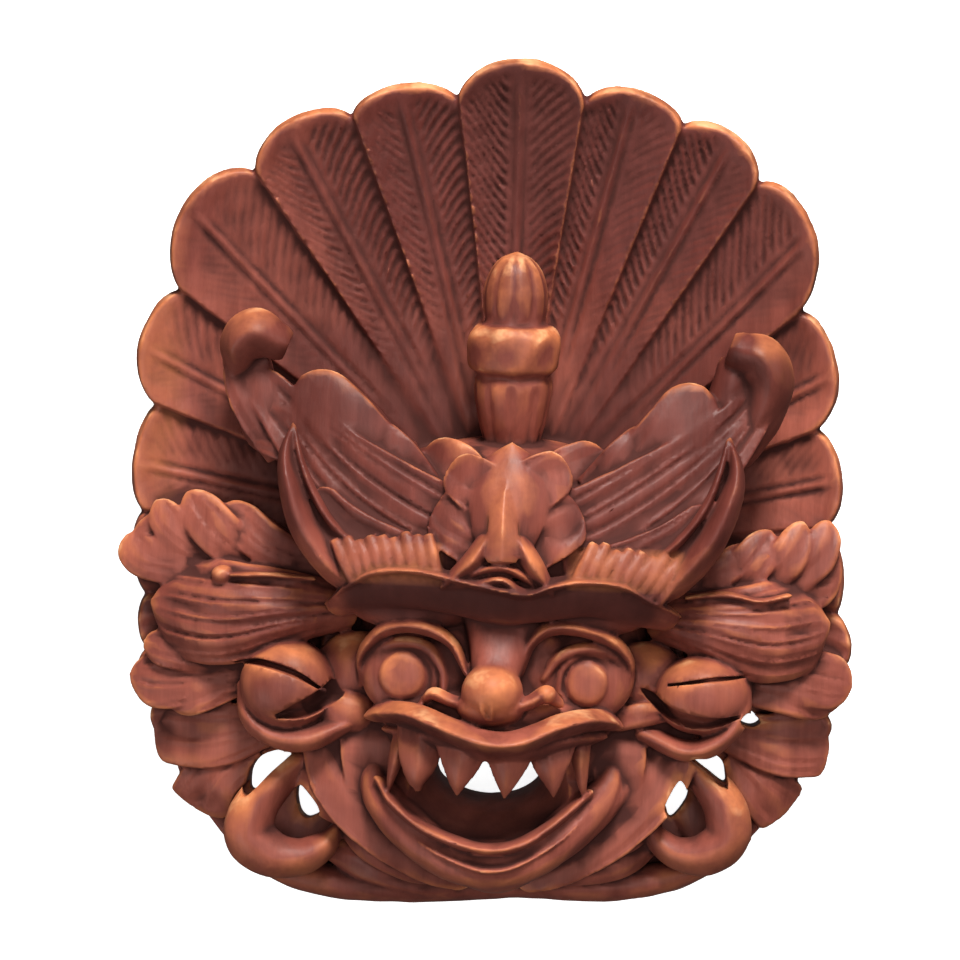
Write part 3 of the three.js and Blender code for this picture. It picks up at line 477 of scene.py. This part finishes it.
def roll(spine, across, deep, crest=1.5, facing=FORWARD):
    """A bar swept along a spine, with domed ends. A crest of 1 is oval, more is a ridge and less is flat."""
    u, centre, side, normal, tangent = frame_along(spine, np.array(facing))
    wide = spline(across, u)[:, 0]
    tall = spline(deep, u)[:, 0]
    turn = np.linspace(0, 2 * np.pi, max(10, int(2 * np.pi * max(across) / STEP)), endpoint=False)
    dome = np.array([0.35, 0.75, 1.0])
    centre = np.vstack([centre[0] - tangent[0] * wide[0] * (1 - dome)[:, None], centre[1:-1],
                        centre[-1] + tangent[-1] * wide[-1] * (1 - dome[::-1])[:, None]])
    swell = np.sqrt(1 - (1 - dome) ** 2)
    scale = np.concatenate([swell, np.ones(len(u) - 2), swell[::-1]])
    pick = np.concatenate([[0, 0, 0], np.arange(1, len(u) - 1), [len(u) - 1] * 3])
    wide = (wide[pick] * scale)[:, None, None]
    tall = (tall[pick] * scale)[:, None, None]
    ring = side[pick, None] * wide * power(np.cos(turn), crest)[None, :, None]
    ring = ring + normal[pick, None] * tall * power(np.sin(turn), crest)[None, :, None]
    return tube(centre[:, None] + ring)


def ball(at, radii, flat=1.0):
    """An ellipsoid, whose front and back are flatter the further flat is below 1."""
    size = max(radii)
    rows = max(10, int(np.pi * size / STEP / 1.5))
    polar = np.linspace(0, np.pi, rows + 1)[1:-1]
    turn = np.linspace(0, 2 * np.pi, 2 * rows, endpoint=False)
    ring = np.stack([
        np.outer(np.sin(polar) ** flat, np.cos(turn)),
        np.outer(np.sin(polar) ** flat, np.sin(turn)),
        np.outer(power(np.cos(polar), flat), np.ones_like(turn)),
    ], -1)
    return tube(ring * np.array(radii) + np.array(at))


def tooth(spine, across):
    """A flat-sided tooth with a ridge down its middle."""
    return roll(spine, np.array(across) * TOOTH_FLARE, TOOTH_DEPTHS)


def column(levels):
    """A shell through level ellipses, each with its centre, its half width and its half height."""
    turn = np.linspace(0, 2 * np.pi, 96, endpoint=False)
    path = spline(levels, np.linspace(0, 1, 40))
    rings = [path[:, :1] + path[:, 3:4] * np.cos(turn), path[:, 1:2] + path[:, 4:5] * np.sin(turn),
             np.repeat(path[:, 2:3], len(turn), 1)]
    return tube(np.stack(rings, -1))


def slats(first, last, count, across):
    """A row of narrow slats, side by side."""
    pieces = []
    for k in range(count):
        share = k / (count - 1)
        foot = np.array(first[0]) * (1 - share) + np.array(last[0]) * share
        top = np.array(first[1]) * (1 - share) + np.array(last[1]) * share
        lift = 1.2 * math.sin(2.3 * k)
        middle = (foot + top) / 2 + (0, 0, 1.5)
        widths = [across * 0.9, across, across * 0.9]
        pieces.append(roll([foot, middle, top + (0, lift, 0)], widths, SLAT_DEPTHS, crest=0.6))
    return pieces


def lotus_bud():
    """A turned bud, fluted along its sides."""
    profile = spline(BUD_PROFILE, np.linspace(0, 1, 150))
    profile = np.maximum(profile, (0.3, 0))
    turn = np.linspace(0, 2 * np.pi, 140, endpoint=False)
    along = profile[:, 1]
    fluted = smoothstep(along, 8, 14) * (1 - smoothstep(along, 32, 36)) + smoothstep(along, 60, 64)
    plain = 0.35 * np.sin(7 * turn[None, :] + along[:, None] / 4)
    petal = (turn * BUD_FLUTES / (2 * np.pi)) % 1
    petals = -FLUTE_DEPTH * np.maximum(0, 1 - np.abs(petal - 0.5) * 5)[None, :]
    radius = profile[:, :1] + fluted[:, None] * petals + plain * (1 - fluted)[:, None]
    level = np.repeat(along[:, None], len(turn), 1)
    ring = np.stack([radius * np.cos(turn), level, radius * np.sin(turn)], -1)
    tilt = np.array(Matrix.Rotation(BUD_TILT, 3, "X"))
    return tube(ring @ tilt.T + np.array(BUD_FOOT))


def prism(outline, low, high):
    """A plug with a smooth closed outline."""
    loop = np.array([*outline[-2:], *outline, *outline[:3]], float)
    share = np.linspace(2, 2 + len(outline), 64, endpoint=False) / (len(loop) - 1)
    edge = spline(loop, share)
    rings = [np.column_stack([edge, np.full(len(edge), height)]) for height in np.linspace(low, high, 12)]
    return tube(np.array(rings))


# ---- The plate ----
def polar(point):
    """Angle and distance of a point from the fan's centre. Angles count up from the outline's start."""
    dx, dy = np.array(point) - FAN_CENTRE
    start = math.atan2(OUTLINE_START[1] - FAN_CENTRE[1], OUTLINE_START[0] - FAN_CENTRE[0])
    angle = math.atan2(dy, dx)
    return (angle + 2 * math.pi if angle < start - 1e-9 else angle), math.hypot(dx, dy)


def cut_line(distance, width):
    """A V-cut that is 1 deep on its line and 0 beyond its half width."""
    return np.maximum(0, 1 - np.abs(distance) / width)


def feather_relief(share, reach, radius, half, barbs, side):
    """Height of one feather's carving. share is -1 to 1 across it, and half its half width in mm."""
    along = radius / reach
    across = share * half
    spoon = -2.0 * (1 - share**2) * smoothstep(along, 0.3, 0.85) * (1 - 0.6 * smoothstep(along, 0.9, 1.0))
    if side == 0:
        overlap = 1.8 * np.abs(share) ** 3
    else:
        overlap = 1.8 * side * share
    overlap = overlap * (0.25 + 0.75 * smoothstep(along, 0.35, 0.75))
    quill = 0.9 * np.exp(-((across / 1.1) ** 2)) - 1.3 * np.exp(-(((np.abs(across) - 2.6) / 0.85) ** 2))
    quill = quill * smoothstep(along, 0.25, 0.6) * (1 - smoothstep(along, 0.93, 0.99))
    depth = np.where(share < 0, barbs[0], barbs[1])
    phase = (radius - 1.15 * np.abs(across) + 1.5 * np.sin(across / 5)) / BARB_SPACING
    barb = np.maximum(0, 1 - np.abs(phase - np.round(phase)) * 2.6)
    where = window(along, 0.36, 0.66, 0.955, 0.985) * smoothstep(np.abs(across), 3.5, 6)
    where = where * smoothstep(1 - np.abs(share), 0.02, 0.10)
    strokes = 0.35 * np.sin(7.5 * share + 0.05 * radius) * smoothstep(along, 0.2, 0.4) * (1 - 0.7 * where)
    return spoon + overlap + quill - BARB_DEPTH * depth * barb * where + strokes


def on_fan(angle, radius, height):
    """Points at each angle and radius from the fan's centre."""
    x = FAN_CENTRE[0] + radius * np.cos(angle)[:, None]
    y = FAN_CENTRE[1] + radius * np.sin(angle)[:, None]
    return np.stack([x, y, height], -1)


def plate():
    """The dished fan and its leafy lower border, lobe by lobe round the outline, with its plain back."""
    fronts, backs = [], []
    from_angle, from_reach = polar(OUTLINE_START)
    radii = np.linspace(0, 1, int((FULL_REACH - PLATE_HOLE) / STEP))
    for index, (tip, notch, *barbs) in enumerate(OUTLINE):
        tip_angle, tip_reach = polar(tip)
        to_angle, to_reach = polar(notch)
        if index == len(OUTLINE) - 1:
            to_angle += 2 * math.pi
        peak = (tip_angle - from_angle) / (to_angle - from_angle)
        count = int((to_angle - from_angle) * tip_reach / STEP)
        s = np.linspace(0, 1, count, endpoint=False)
        angle = from_angle + (to_angle - from_angle) * s
        # across runs from -1 to 1 with its zero at the tip
        across = np.where(s < peak, s / peak - 1, (s - peak) / (1 - peak))
        base = from_reach + (to_reach - from_reach) * s
        bulge = tip_reach - (from_reach + (to_reach - from_reach) * peak)
        reach = base + bulge * np.maximum(1 - across**2, 0) ** LOBE_ROUNDNESS
        dish = 1 - smoothstep(np.abs(angle - math.pi / 2), DISH_FULL_TO, DISH_GONE_BY)
        front_reach = reach - RIM_SLANT * PLATE_THICKNESS * 2 * DISH_RISE * dish * reach / FULL_REACH**2
        radius = PLATE_HOLE + (front_reach[:, None] - PLATE_HOLE) * radii[None, :]
        height = PLATE_FLOOR + DISH_RISE * dish[:, None] * (radius / FULL_REACH) ** 2
        half = radius * (to_angle - from_angle) / 2
        share = np.repeat(across[:, None], len(radii), 1)
        from_edge = front_reach[:, None] - radius
        if barbs:
            side = 0 if abs(tip_angle - math.pi / 2) < 0.1 else (1 if tip_angle > math.pi / 2 else -1)
            relief = feather_relief(share, front_reach[:, None], radius, half, barbs[0], side)
        else:
            groove = cut_line((1 - np.abs(share)) * half, 2.2) * (1 - smoothstep(from_edge, 14, 40))
            relief = -1.8 * groove + 1.2 * (1 - share**2) * (1 - smoothstep(from_edge, 8, 30))
            relief = relief + 0.4 * np.sin(3 * math.pi * share + 0.06 * radius)
        round_edge = np.clip(1 - (1 - np.clip(from_edge / RIM_BEVEL, 0, 1)) ** 2, 0, 1)
        bevel = RIM_BEVEL_DEPTH * (1 - np.sqrt(round_edge))
        fade = smoothstep(radius, PLAIN_TO, CARVED_FROM)
        fronts.append(on_fan(angle, radius, height + relief * fade - bevel))
        back_share = np.linspace(1, 0, 24)[None, :]
        back_radius = PLATE_HOLE + (reach[:, None] - PLATE_HOLE) * back_share
        under = PLATE_FLOOR + DISH_RISE * dish[:, None] * (back_radius / FULL_REACH) ** 2 - PLATE_THICKNESS
        gouges = 0.5 * np.sin(back_radius / 3.4 + 3 * np.sin(5 * angle)[:, None])
        backs.append(on_fan(angle, back_radius, under + gouges + 2.0 * (back_share > 0.99)))
        from_angle, from_reach = to_angle, to_reach
    return tube(np.concatenate([np.vstack(fronts), np.vstack(backs)], axis=1), closed=True)


# ---- From shells to one mesh ----
def to_mesh(name, shells):
    points = np.vstack([s[0] for s in shells])
    starts = np.cumsum([0] + [len(s[0]) for s in shells[:-1]])
    triangles = np.vstack([s[1] + start for s, start in zip(shells, starts)])
    mesh = bpy.data.meshes.new(name)
    mesh.vertices.add(len(points))
    mesh.vertices.foreach_set("co", (points * MM).ravel())
    mesh.loops.add(triangles.size)
    mesh.loops.foreach_set("vertex_index", triangles.ravel())
    mesh.polygons.add(len(triangles))
    mesh.polygons.foreach_set("loop_start", np.arange(0, triangles.size, 3))
    mesh.update(calc_edges=True)
    mesh.validate()
    obj = bpy.data.objects.new(name, mesh)
    bpy.context.scene.collection.objects.link(obj)
    return obj


def bake(obj):
    """Makes the object's modifiers part of its mesh."""
    graph = bpy.context.evaluated_depsgraph_get()
    mesh = bpy.data.meshes.new_from_object(obj.evaluated_get(graph))
    obj.modifiers.clear()
    old = obj.data
    obj.data = mesh
    bpy.data.meshes.remove(old)


def melt(obj, size):
    remesh = obj.modifiers.new("melt", "REMESH")
    remesh.mode = "VOXEL"
    remesh.voxel_size = size * MM
    bake(obj)


def cut(obj, shells):
    """Takes closed shells, which stand clear of each other, out of the object."""
    plug = to_mesh("plug", [outward(shell) for shell in shells])
    boolean = obj.modifiers.new("cut", "BOOLEAN")
    boolean.operation = "DIFFERENCE"
    boolean.solver = "MANIFOLD"
    boolean.object = plug
    bake(obj)
    bpy.data.objects.remove(plug)


def outward(shell):
    """The shell with its faces turned out."""
    points, triangles = shell
    a, b, c = (points[triangles[:, k]] for k in range(3))
    volume = np.einsum("ij,ij->i", a, np.cross(b, c)).sum()
    return (points, triangles) if volume > 0 else (points, triangles[:, ::-1])


def coordinates(mesh):
    points = np.empty(3 * len(mesh.vertices), np.float32)
    mesh.vertices.foreach_get("co", points)
    return points.reshape(-1, 3)


def normals(mesh):
    directions = np.empty(3 * len(mesh.vertices), np.float32)
    mesh.vertex_normals.foreach_get("vector", directions)
    return directions.reshape(-1, 3)


def blurred(values, edges, times):
    """Values averaged with their neighbours' along the edges, again and again."""
    count = len(values)
    near = np.bincount(edges.ravel(), minlength=count)
    near = np.maximum(near, 1)
    for _ in range(times):
        total = np.empty_like(values)
        for k in range(values.shape[1]):
            total[:, k] = np.bincount(edges[:, 0], values[edges[:, 1], k], count)
            total[:, k] += np.bincount(edges[:, 1], values[edges[:, 0], k], count)
        values = 0.5 * values + 0.5 * total / near[:, None]
    return values


def patch(x, y, middle, radii):
    """1 near the middle of a rounded patch, easing to 0 beyond its radii."""
    return np.exp(-(((x - middle[0]) / radii[0]) ** 4) - ((y - middle[1]) / radii[1]) ** 4)


def tone(x, y, z, out, wear_and_highlight, recess_shade):
    """How the carving's regions differ: darker stain and painted shade, more or less rubbed with painted
    highlight, or deeper with painted shade.
    """
    # Painted shade: the top of the fan and the crown wings are darkened, as if turned away from the light.
    stain_and_shade = smoothstep(y, 10, 110) * (1 - 0.8 * smoothstep(np.abs(x - 10), 60, 130))
    wings = window(y, -38, -15, 58, 80) * (1 - smoothstep(np.abs(x), 85, 120))
    wings = wings * smoothstep(np.abs(x - 1), 20, 30)
    stain_and_shade = np.maximum(stain_and_shade, 0.8 * wings)
    wear_and_highlight = wear_and_highlight * (1 - 0.55 * wings)
    stain_and_shade = np.maximum(stain_and_shade, 0.25 * (1 - smoothstep(y, -172, -155)))
    # Painted shade: the brow band, which looks down, is darkened and deepened, and its edges are painted less
    # bright.
    band = np.exp(-(((y + 48.5) / 8) ** 4)) * smoothstep(z, 86, 94) * (1 - smoothstep(np.abs(x), 60, 68))
    stain_and_shade = np.maximum(stain_and_shade, band)
    recess_shade = np.maximum(recess_shade, 0.45 * band)
    wear_and_highlight = wear_and_highlight * (1 - 0.5 * band)
    # Painted shade: the middle of the fan's top is darkened further.
    recess_shade = np.maximum(recess_shade, 0.3 * np.exp(-((x / 28) ** 4)) * smoothstep(y, 90, 130))
    in_mouth = window(y, -152, -144, -112, -106) * (1 - smoothstep(np.abs(x + 4), 36, 44))
    recess_shade = recess_shade * (1 - 0.6 * in_mouth)
    wear_and_highlight = wear_and_highlight * (1 - 0.3 * in_mouth)
    # The outer side lobes are painted lighter orange: partly wear, partly painted light.
    wear_and_highlight = np.maximum(wear_and_highlight, 0.55 * smoothstep(np.abs(x), 120, 148) * smoothstep(y, -30, 0))
    bosses = patch(np.abs(x), y, (86, -88), (20, 20))
    wear_and_highlight = wear_and_highlight * (1 - 0.5 * bosses)
    slats_wear = smoothstep(np.abs(x - 2), 22, 27) * (1 - smoothstep(np.abs(x - 5), 66, 76))
    wear_and_highlight = np.maximum(wear_and_highlight, 0.6 * slats_wear * smoothstep(z, 94, 98) * window(y, -45, -41, -27, -22))
    hooks = window(np.abs(x), 80, 90, 120, 128) * smoothstep(z, 62, 70) * window(y, -5, 10, 62, 80)
    stain_and_shade = np.maximum(stain_and_shade, 0.6 * hooks)
    wear_and_highlight = wear_and_highlight * (1 - 0.35 * hooks)
    ears = smoothstep(np.abs(x), 66, 76) * np.exp(-(((y + 57) / 17) ** 4))
    stain_and_shade = np.maximum(stain_and_shade, 0.35 * ears)
    stain_and_shade = np.maximum(stain_and_shade, np.where(x < 0, 0.4, 0.1) * bosses)
    # Painted shade: the lip's underside, where it faces down, is darkened.
    lip = window(y, -114, -110, -95, -90) * (1 - smoothstep(np.abs(x), 48, 54)) * smoothstep(z, 84, 90)
    stain_and_shade = np.maximum(stain_and_shade, 0.8 * lip * smoothstep(-out[:, 1], 0.1, 0.6))
    # Painted highlight: the top of the nose is lightened. The ridge of the shield is painted lighter too.
    nose = patch(x, y, (-1.5, -84), (12, 11)) * smoothstep(z, 100, 106)
    ridge = np.exp(-(((x - 1) / 8) ** 4)) * window(y, -30, -25, 12, 18) * smoothstep(z, 102, 108)
    wear_and_highlight = np.maximum(wear_and_highlight, np.maximum(0.8 * nose, 0.6 * ridge))
    return wear_and_highlight, recess_shade, stain_and_shade


def mark_wear_and_painted_light(obj, lowest):
    """Stores how far each point stands above (wear, with painted highlight on faces turned up to the light)
    or below (recess, with painted shade) the surface round it, and its stain and painted shade.
    """
    mesh = obj.data
    points = coordinates(mesh).astype(float) / MM
    edges = np.empty(2 * len(mesh.edges), np.int32)
    mesh.edges.foreach_get("vertices", edges)
    edges = edges.reshape(-1, 2)
    out = normals(mesh)
    close = blurred(points, edges, 6)
    wide = blurred(close, edges, 60)
    fine = np.einsum("ij,ij->i", points - close, out)
    broad = np.einsum("ij,ij->i", points - wide, out)
    faces_up = np.clip(out[:, 1], 0, 1)
    # Painted highlight: edges that face up, toward the key light, count as more worn and are painted lighter.
    wear_and_highlight = (fine * 2.2 + broad * 0.06) * (0.45 + 0.75 * faces_up)
    # Painted shade in the hollows, together with the dark wax that collects in the cuts.
    recess_shade = -(fine * 2.2 + broad * 0.22)
    x, y, z = (points - np.array(lowest) / MM + CARVED_LOW).T
    wear_and_highlight, recess_shade, stain_and_shade = tone(x, y, z, out, wear_and_highlight, recess_shade)
    for name, values in (("wear_and_highlight", wear_and_highlight), ("recess_shade", recess_shade), ("stain_and_shade", stain_and_shade)):
        values = blurred(np.clip(values, 0, 1)[:, None], edges, 1)[:, 0]
        layer = mesh.attributes.new(name, "FLOAT", "POINT")
        layer.data.foreach_set("value", values.astype(np.float32))


def hand_cut(obj):
    """Slight unevenness, as the knife leaves it."""
    mesh = obj.data
    points = coordinates(mesh)
    p = points / MM
    waves = np.zeros(len(p))
    random = np.random.default_rng(7)
    for _ in range(KNIFE_WAVES):
        direction = unit(random.normal(size=3)) * random.uniform(0.25, 0.75)
        waves += np.sin(p @ direction + random.uniform(0, 6.28))
    points = points + normals(mesh) * (waves * KNIFE_DEPTH * MM)[:, None]
    mesh.vertices.foreach_set("co", points.astype(np.float32).ravel())
    mesh.update()


def carve():
    block = to_mesh("mask_carving", [plate(), column(HEAD_BLOCK), *[ball(*mass) for mass in MASSES]])
    melt(block, VOXEL)
    cut(block, [ball(*HOLLOW)])
    cut(block, [column(MOUTH)])
    added = [leaf(spine, widths, **shape) for spine, widths, shape in LEAVES]
    added += [roll(*bar) for bar in ROLLS]
    added += [ball(*knob) for knob in BALLS]
    added += [tooth(*point) for point in TEETH]
    for row in SLATS:
        added += slats(**row)
    added.append(lotus_bud())
    relief = to_mesh("relief", added)
    with bpy.context.temp_override(active_object=block, selected_editable_objects=[block, relief]):
        bpy.ops.object.join()
    melt(block, VOXEL)
    cut(block, [prism(outline, PIERCING_LOW, PIERCING_HIGH) for outline in PIERCINGS]
        + [roll(*slit) for slit in SLITS])
    cut(block, [floor_block()])
    smooth = block.modifiers.new("smooth", "SMOOTH")
    smooth.factor = 0.5
    smooth.iterations = 2
    bake(block)
    hand_cut(block)
    thin = block.modifiers.new("thin", "DECIMATE")
    thin.ratio = min(1.0, TRIANGLES / (2 * len(block.data.vertices)))
    bake(block)
    block.data.polygons.foreach_set("use_smooth", np.ones(len(block.data.polygons), bool))
    return block


def floor_block():
    """Everything below the flat back."""
    size = UNDER_HALF_WIDTH
    square = [(-size, -size), (size, -size), (size, size), (-size, size)]
    rings = [[(x, y, z) for x, y in square] for z in (UNDER_FLOOR, 0)]
    return tube(np.array(rings, float))


# ---- Material ----
def wood_material():
    material = bpy.data.materials.new("carved_wood")
    material.use_nodes = True
    nodes, links = material.node_tree.nodes, material.node_tree.links
    surface = nodes["Principled BSDF"]

    def add(kind, **settings):
        node = nodes.new(kind)
        for key, value in settings.items():
            setattr(node, key, value)
        return node

    def ramp(source, stops):
        node = add("ShaderNodeValToRGB")
        elements = node.color_ramp.elements
        while len(elements) < len(stops):
            elements.new(0.5)
        for element, (place, colour) in zip(elements, stops):
            element.position = place
            element.color = (*colour, 1)
        links.new(source, node.inputs["Fac"])
        return node.outputs["Color"]

    def mix(kind, factor, first, second):
        node = add("ShaderNodeMix", data_type="RGBA", blend_type=kind)
        if isinstance(factor, float):
            node.inputs["Factor"].default_value = factor
        else:
            links.new(factor, node.inputs["Factor"])
        links.new(first, node.inputs[6])
        if isinstance(second, tuple):
            node.inputs[7].default_value = (*second, 1)
        else:
            links.new(second, node.inputs[7])
        return node.outputs[2]

    def noise(scale, detail, roughness, stretch=None):
        node = add("ShaderNodeTexNoise")
        node.inputs["Scale"].default_value = scale
        node.inputs["Detail"].default_value = detail
        node.inputs["Roughness"].default_value = roughness
        if stretch:
            mapping = add("ShaderNodeMapping")
            mapping.inputs["Scale"].default_value = stretch
            links.new(place.outputs["Object"], mapping.inputs["Vector"])
            links.new(mapping.outputs["Vector"], node.inputs["Vector"])
        else:
            links.new(place.outputs["Object"], node.inputs["Vector"])
        return node.outputs["Fac"]

    def marked(name, low, high):
        attribute = add("ShaderNodeAttribute", attribute_name=name)
        node = add("ShaderNodeMapRange")
        node.inputs["From Min"].default_value = low
        node.inputs["From Max"].default_value = high
        links.new(attribute.outputs["Fac"], node.inputs["Value"])
        return node.outputs["Result"]

    place = add("ShaderNodeTexCoord")
    # Stained wood: broad patches of plum brown and warmer red brown, streaked along the grain, darker where
    # stain and painted shade are marked
    patches = ramp(noise(14, 4, 0.6), [(0.34, (0.165, 0.040, 0.029)), (0.66, (0.300, 0.080, 0.052))])
    dark = ramp(noise(11, 4, 0.6), [(0.34, (0.080, 0.018, 0.014)), (0.66, (0.130, 0.030, 0.023))])
    patches = mix("MIX", marked("stain_and_shade", 0, 1), patches, dark)
    fibres = noise(95, 5, 0.65, (1.0, 0.10, 1.0))
    streaks = ramp(fibres, [(0.35, (0.55, 0.50, 0.50)), (0.62, (1.0, 1.0, 1.0))])
    colour = mix("MULTIPLY", 0.75, patches, streaks)
    # Dark wax left in the cuts, and painted shade in the hollows
    colour = mix("MIX", marked("recess_shade", 0.06, 0.80), colour, (0.050, 0.013, 0.010))
    # Edges rubbed back to orange, and the sharpest to pale wood. This is partly painted highlight: it is
    # stronger
    # # on edges that face up to the light, and on the tip of the nose.
    rubbed_and_lit = add("ShaderNodeMath", operation="MULTIPLY")
    links.new(marked("wear_and_highlight", 0.30, 1.0), rubbed_and_lit.inputs[0])
    links.new(ramp(noise(45, 4, 0.7), [(0.35, (0.25, 0.25, 0.25)), (0.65, (1, 1, 1))]), rubbed_and_lit.inputs[1])
    colour = mix("MIX", rubbed_and_lit.outputs["Value"], colour, (0.52, 0.165, 0.062))
    bare_and_lit = add("ShaderNodeMath", operation="MULTIPLY")
    links.new(marked("wear_and_highlight", 0.80, 1.2), bare_and_lit.inputs[0])
    links.new(ramp(noise(80, 3, 0.6), [(0.45, (0, 0, 0)), (0.65, (1, 1, 1))]), bare_and_lit.inputs[1])
    colour = mix("MIX", bare_and_lit.outputs["Value"], colour, (0.85, 0.48, 0.24))
    links.new(colour, surface.inputs["Base Color"])
    # Satin wax, duller in the cuts
    sheen = ramp(noise(90, 4, 0.6), [(0.3, (0.42, 0.42, 0.42)), (0.7, (0.58, 0.58, 0.58))])
    sheen = mix("MIX", marked("recess_shade", 0.1, 0.6), sheen, (0.85, 0.85, 0.85))
    links.new(sheen, surface.inputs["Roughness"])
    surface.inputs["Specular IOR Level"].default_value = 0.2
    # Grain and small tool marks
    grain = add("ShaderNodeBump")
    grain.inputs["Strength"].default_value = 0.35
    grain.inputs["Distance"].default_value = 0.0006
    links.new(noise(260, 4, 0.6, (1.0, 0.10, 1.0)), grain.inputs["Height"])
    marks = add("ShaderNodeBump")
    marks.inputs["Strength"].default_value = 0.10
    marks.inputs["Distance"].default_value = 0.0012
    links.new(noise(120, 2, 0.5), marks.inputs["Height"])
    links.new(grain.outputs["Normal"], marks.inputs["Normal"])
    links.new(marks.outputs["Normal"], surface.inputs["Normal"])
    return material


def pale_floor():
    bpy.ops.mesh.primitive_plane_add(size=8, location=(0, 0, -0.0003))
    floor = bpy.context.object
    floor.name = "floor"
    material = bpy.data.materials.new("floor_paint")
    material.use_nodes = True
    surface = material.node_tree.nodes["Principled BSDF"]
    surface.inputs["Base Color"].default_value = (0.92, 0.92, 0.92, 1)
    surface.inputs["Roughness"].default_value = 0.9
    surface.inputs["Emission Color"].default_value = (1, 1, 1, 1)
    surface.inputs["Emission Strength"].default_value = 0.9
    floor.data.materials.append(material)
    floor.visible_diffuse = False
    floor.visible_glossy = False


def light(name, place, size, power, colour=(1, 1, 1)):
    """A square soft light that looks at the mask."""
    lamp = bpy.data.lights.new(name, "AREA")
    lamp.shape = "SQUARE"
    lamp.size = size
    lamp.energy = power
    lamp.color = colour
    obj = bpy.data.objects.new(name, lamp)
    obj.location = place
    obj.rotation_euler = (Vector((0, 0, 0.06)) - Vector(place)).to_track_quat("-Z", "Y").to_euler()
    bpy.context.scene.collection.objects.link(obj)


def studio():
    pale_floor()
    light("key", (0.2, 1.4, 1.2), 0.5, 65, (1.0, 0.96, 0.92))
    light("front", (0.2, 0.0, 1.9), 1.0, 13)
    light("side", (1.5, 0.4, 0.8), 0.6, 5)
    light("low", (-1.0, -0.8, 1.0), 0.6, 7)
    bpy.context.scene.view_settings.view_transform = "Standard"
    world = bpy.data.worlds.new("studio")
    bpy.context.scene.world = world
    world.use_nodes = True
    world.node_tree.nodes["Background"].inputs["Color"].default_value = (1, 1, 1, 1)
    world.node_tree.nodes["Background"].inputs["Strength"].default_value = 0.10


def look_down(middle):
    """The camera hangs over the face, a little to the viewer's right, and is turned by a slight roll."""
    lens = bpy.data.cameras.new("camera")
    lens.sensor_width = SENSOR
    lens.lens = SENSOR / (VIEW_WIDTH / (VIEW_DISTANCE - MIDDLE_TO_FEATHERS))
    camera = bpy.data.objects.new("camera", lens)
    out = Matrix.Rotation(VIEW_LEAN, 4, "Y") @ Matrix.Rotation(VIEW_ROLL, 4, "Z")
    camera.matrix_world = Matrix.Translation(middle) @ out @ Matrix.Translation((0, 0, VIEW_DISTANCE))
    bpy.context.scene.collection.objects.link(camera)
    bpy.context.scene.camera = camera


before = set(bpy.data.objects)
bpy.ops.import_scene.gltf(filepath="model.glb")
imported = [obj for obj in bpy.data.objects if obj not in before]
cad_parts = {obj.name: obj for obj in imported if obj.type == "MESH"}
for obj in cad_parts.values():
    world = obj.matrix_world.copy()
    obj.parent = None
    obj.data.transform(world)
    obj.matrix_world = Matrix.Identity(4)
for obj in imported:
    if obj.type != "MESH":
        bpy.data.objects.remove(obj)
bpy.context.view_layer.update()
mask = carve()
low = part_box("mask")[0]
mask.data.transform(Matrix.Translation(Vector(low) - Vector(CARVED_LOW * MM)))
mark_wear_and_painted_light(mask, low)
mask.data.materials.clear()
mask.data.materials.append(wood_material())
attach(mask, "root")
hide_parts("mask")
studio()
look_down(VIEW_MIDDLE)
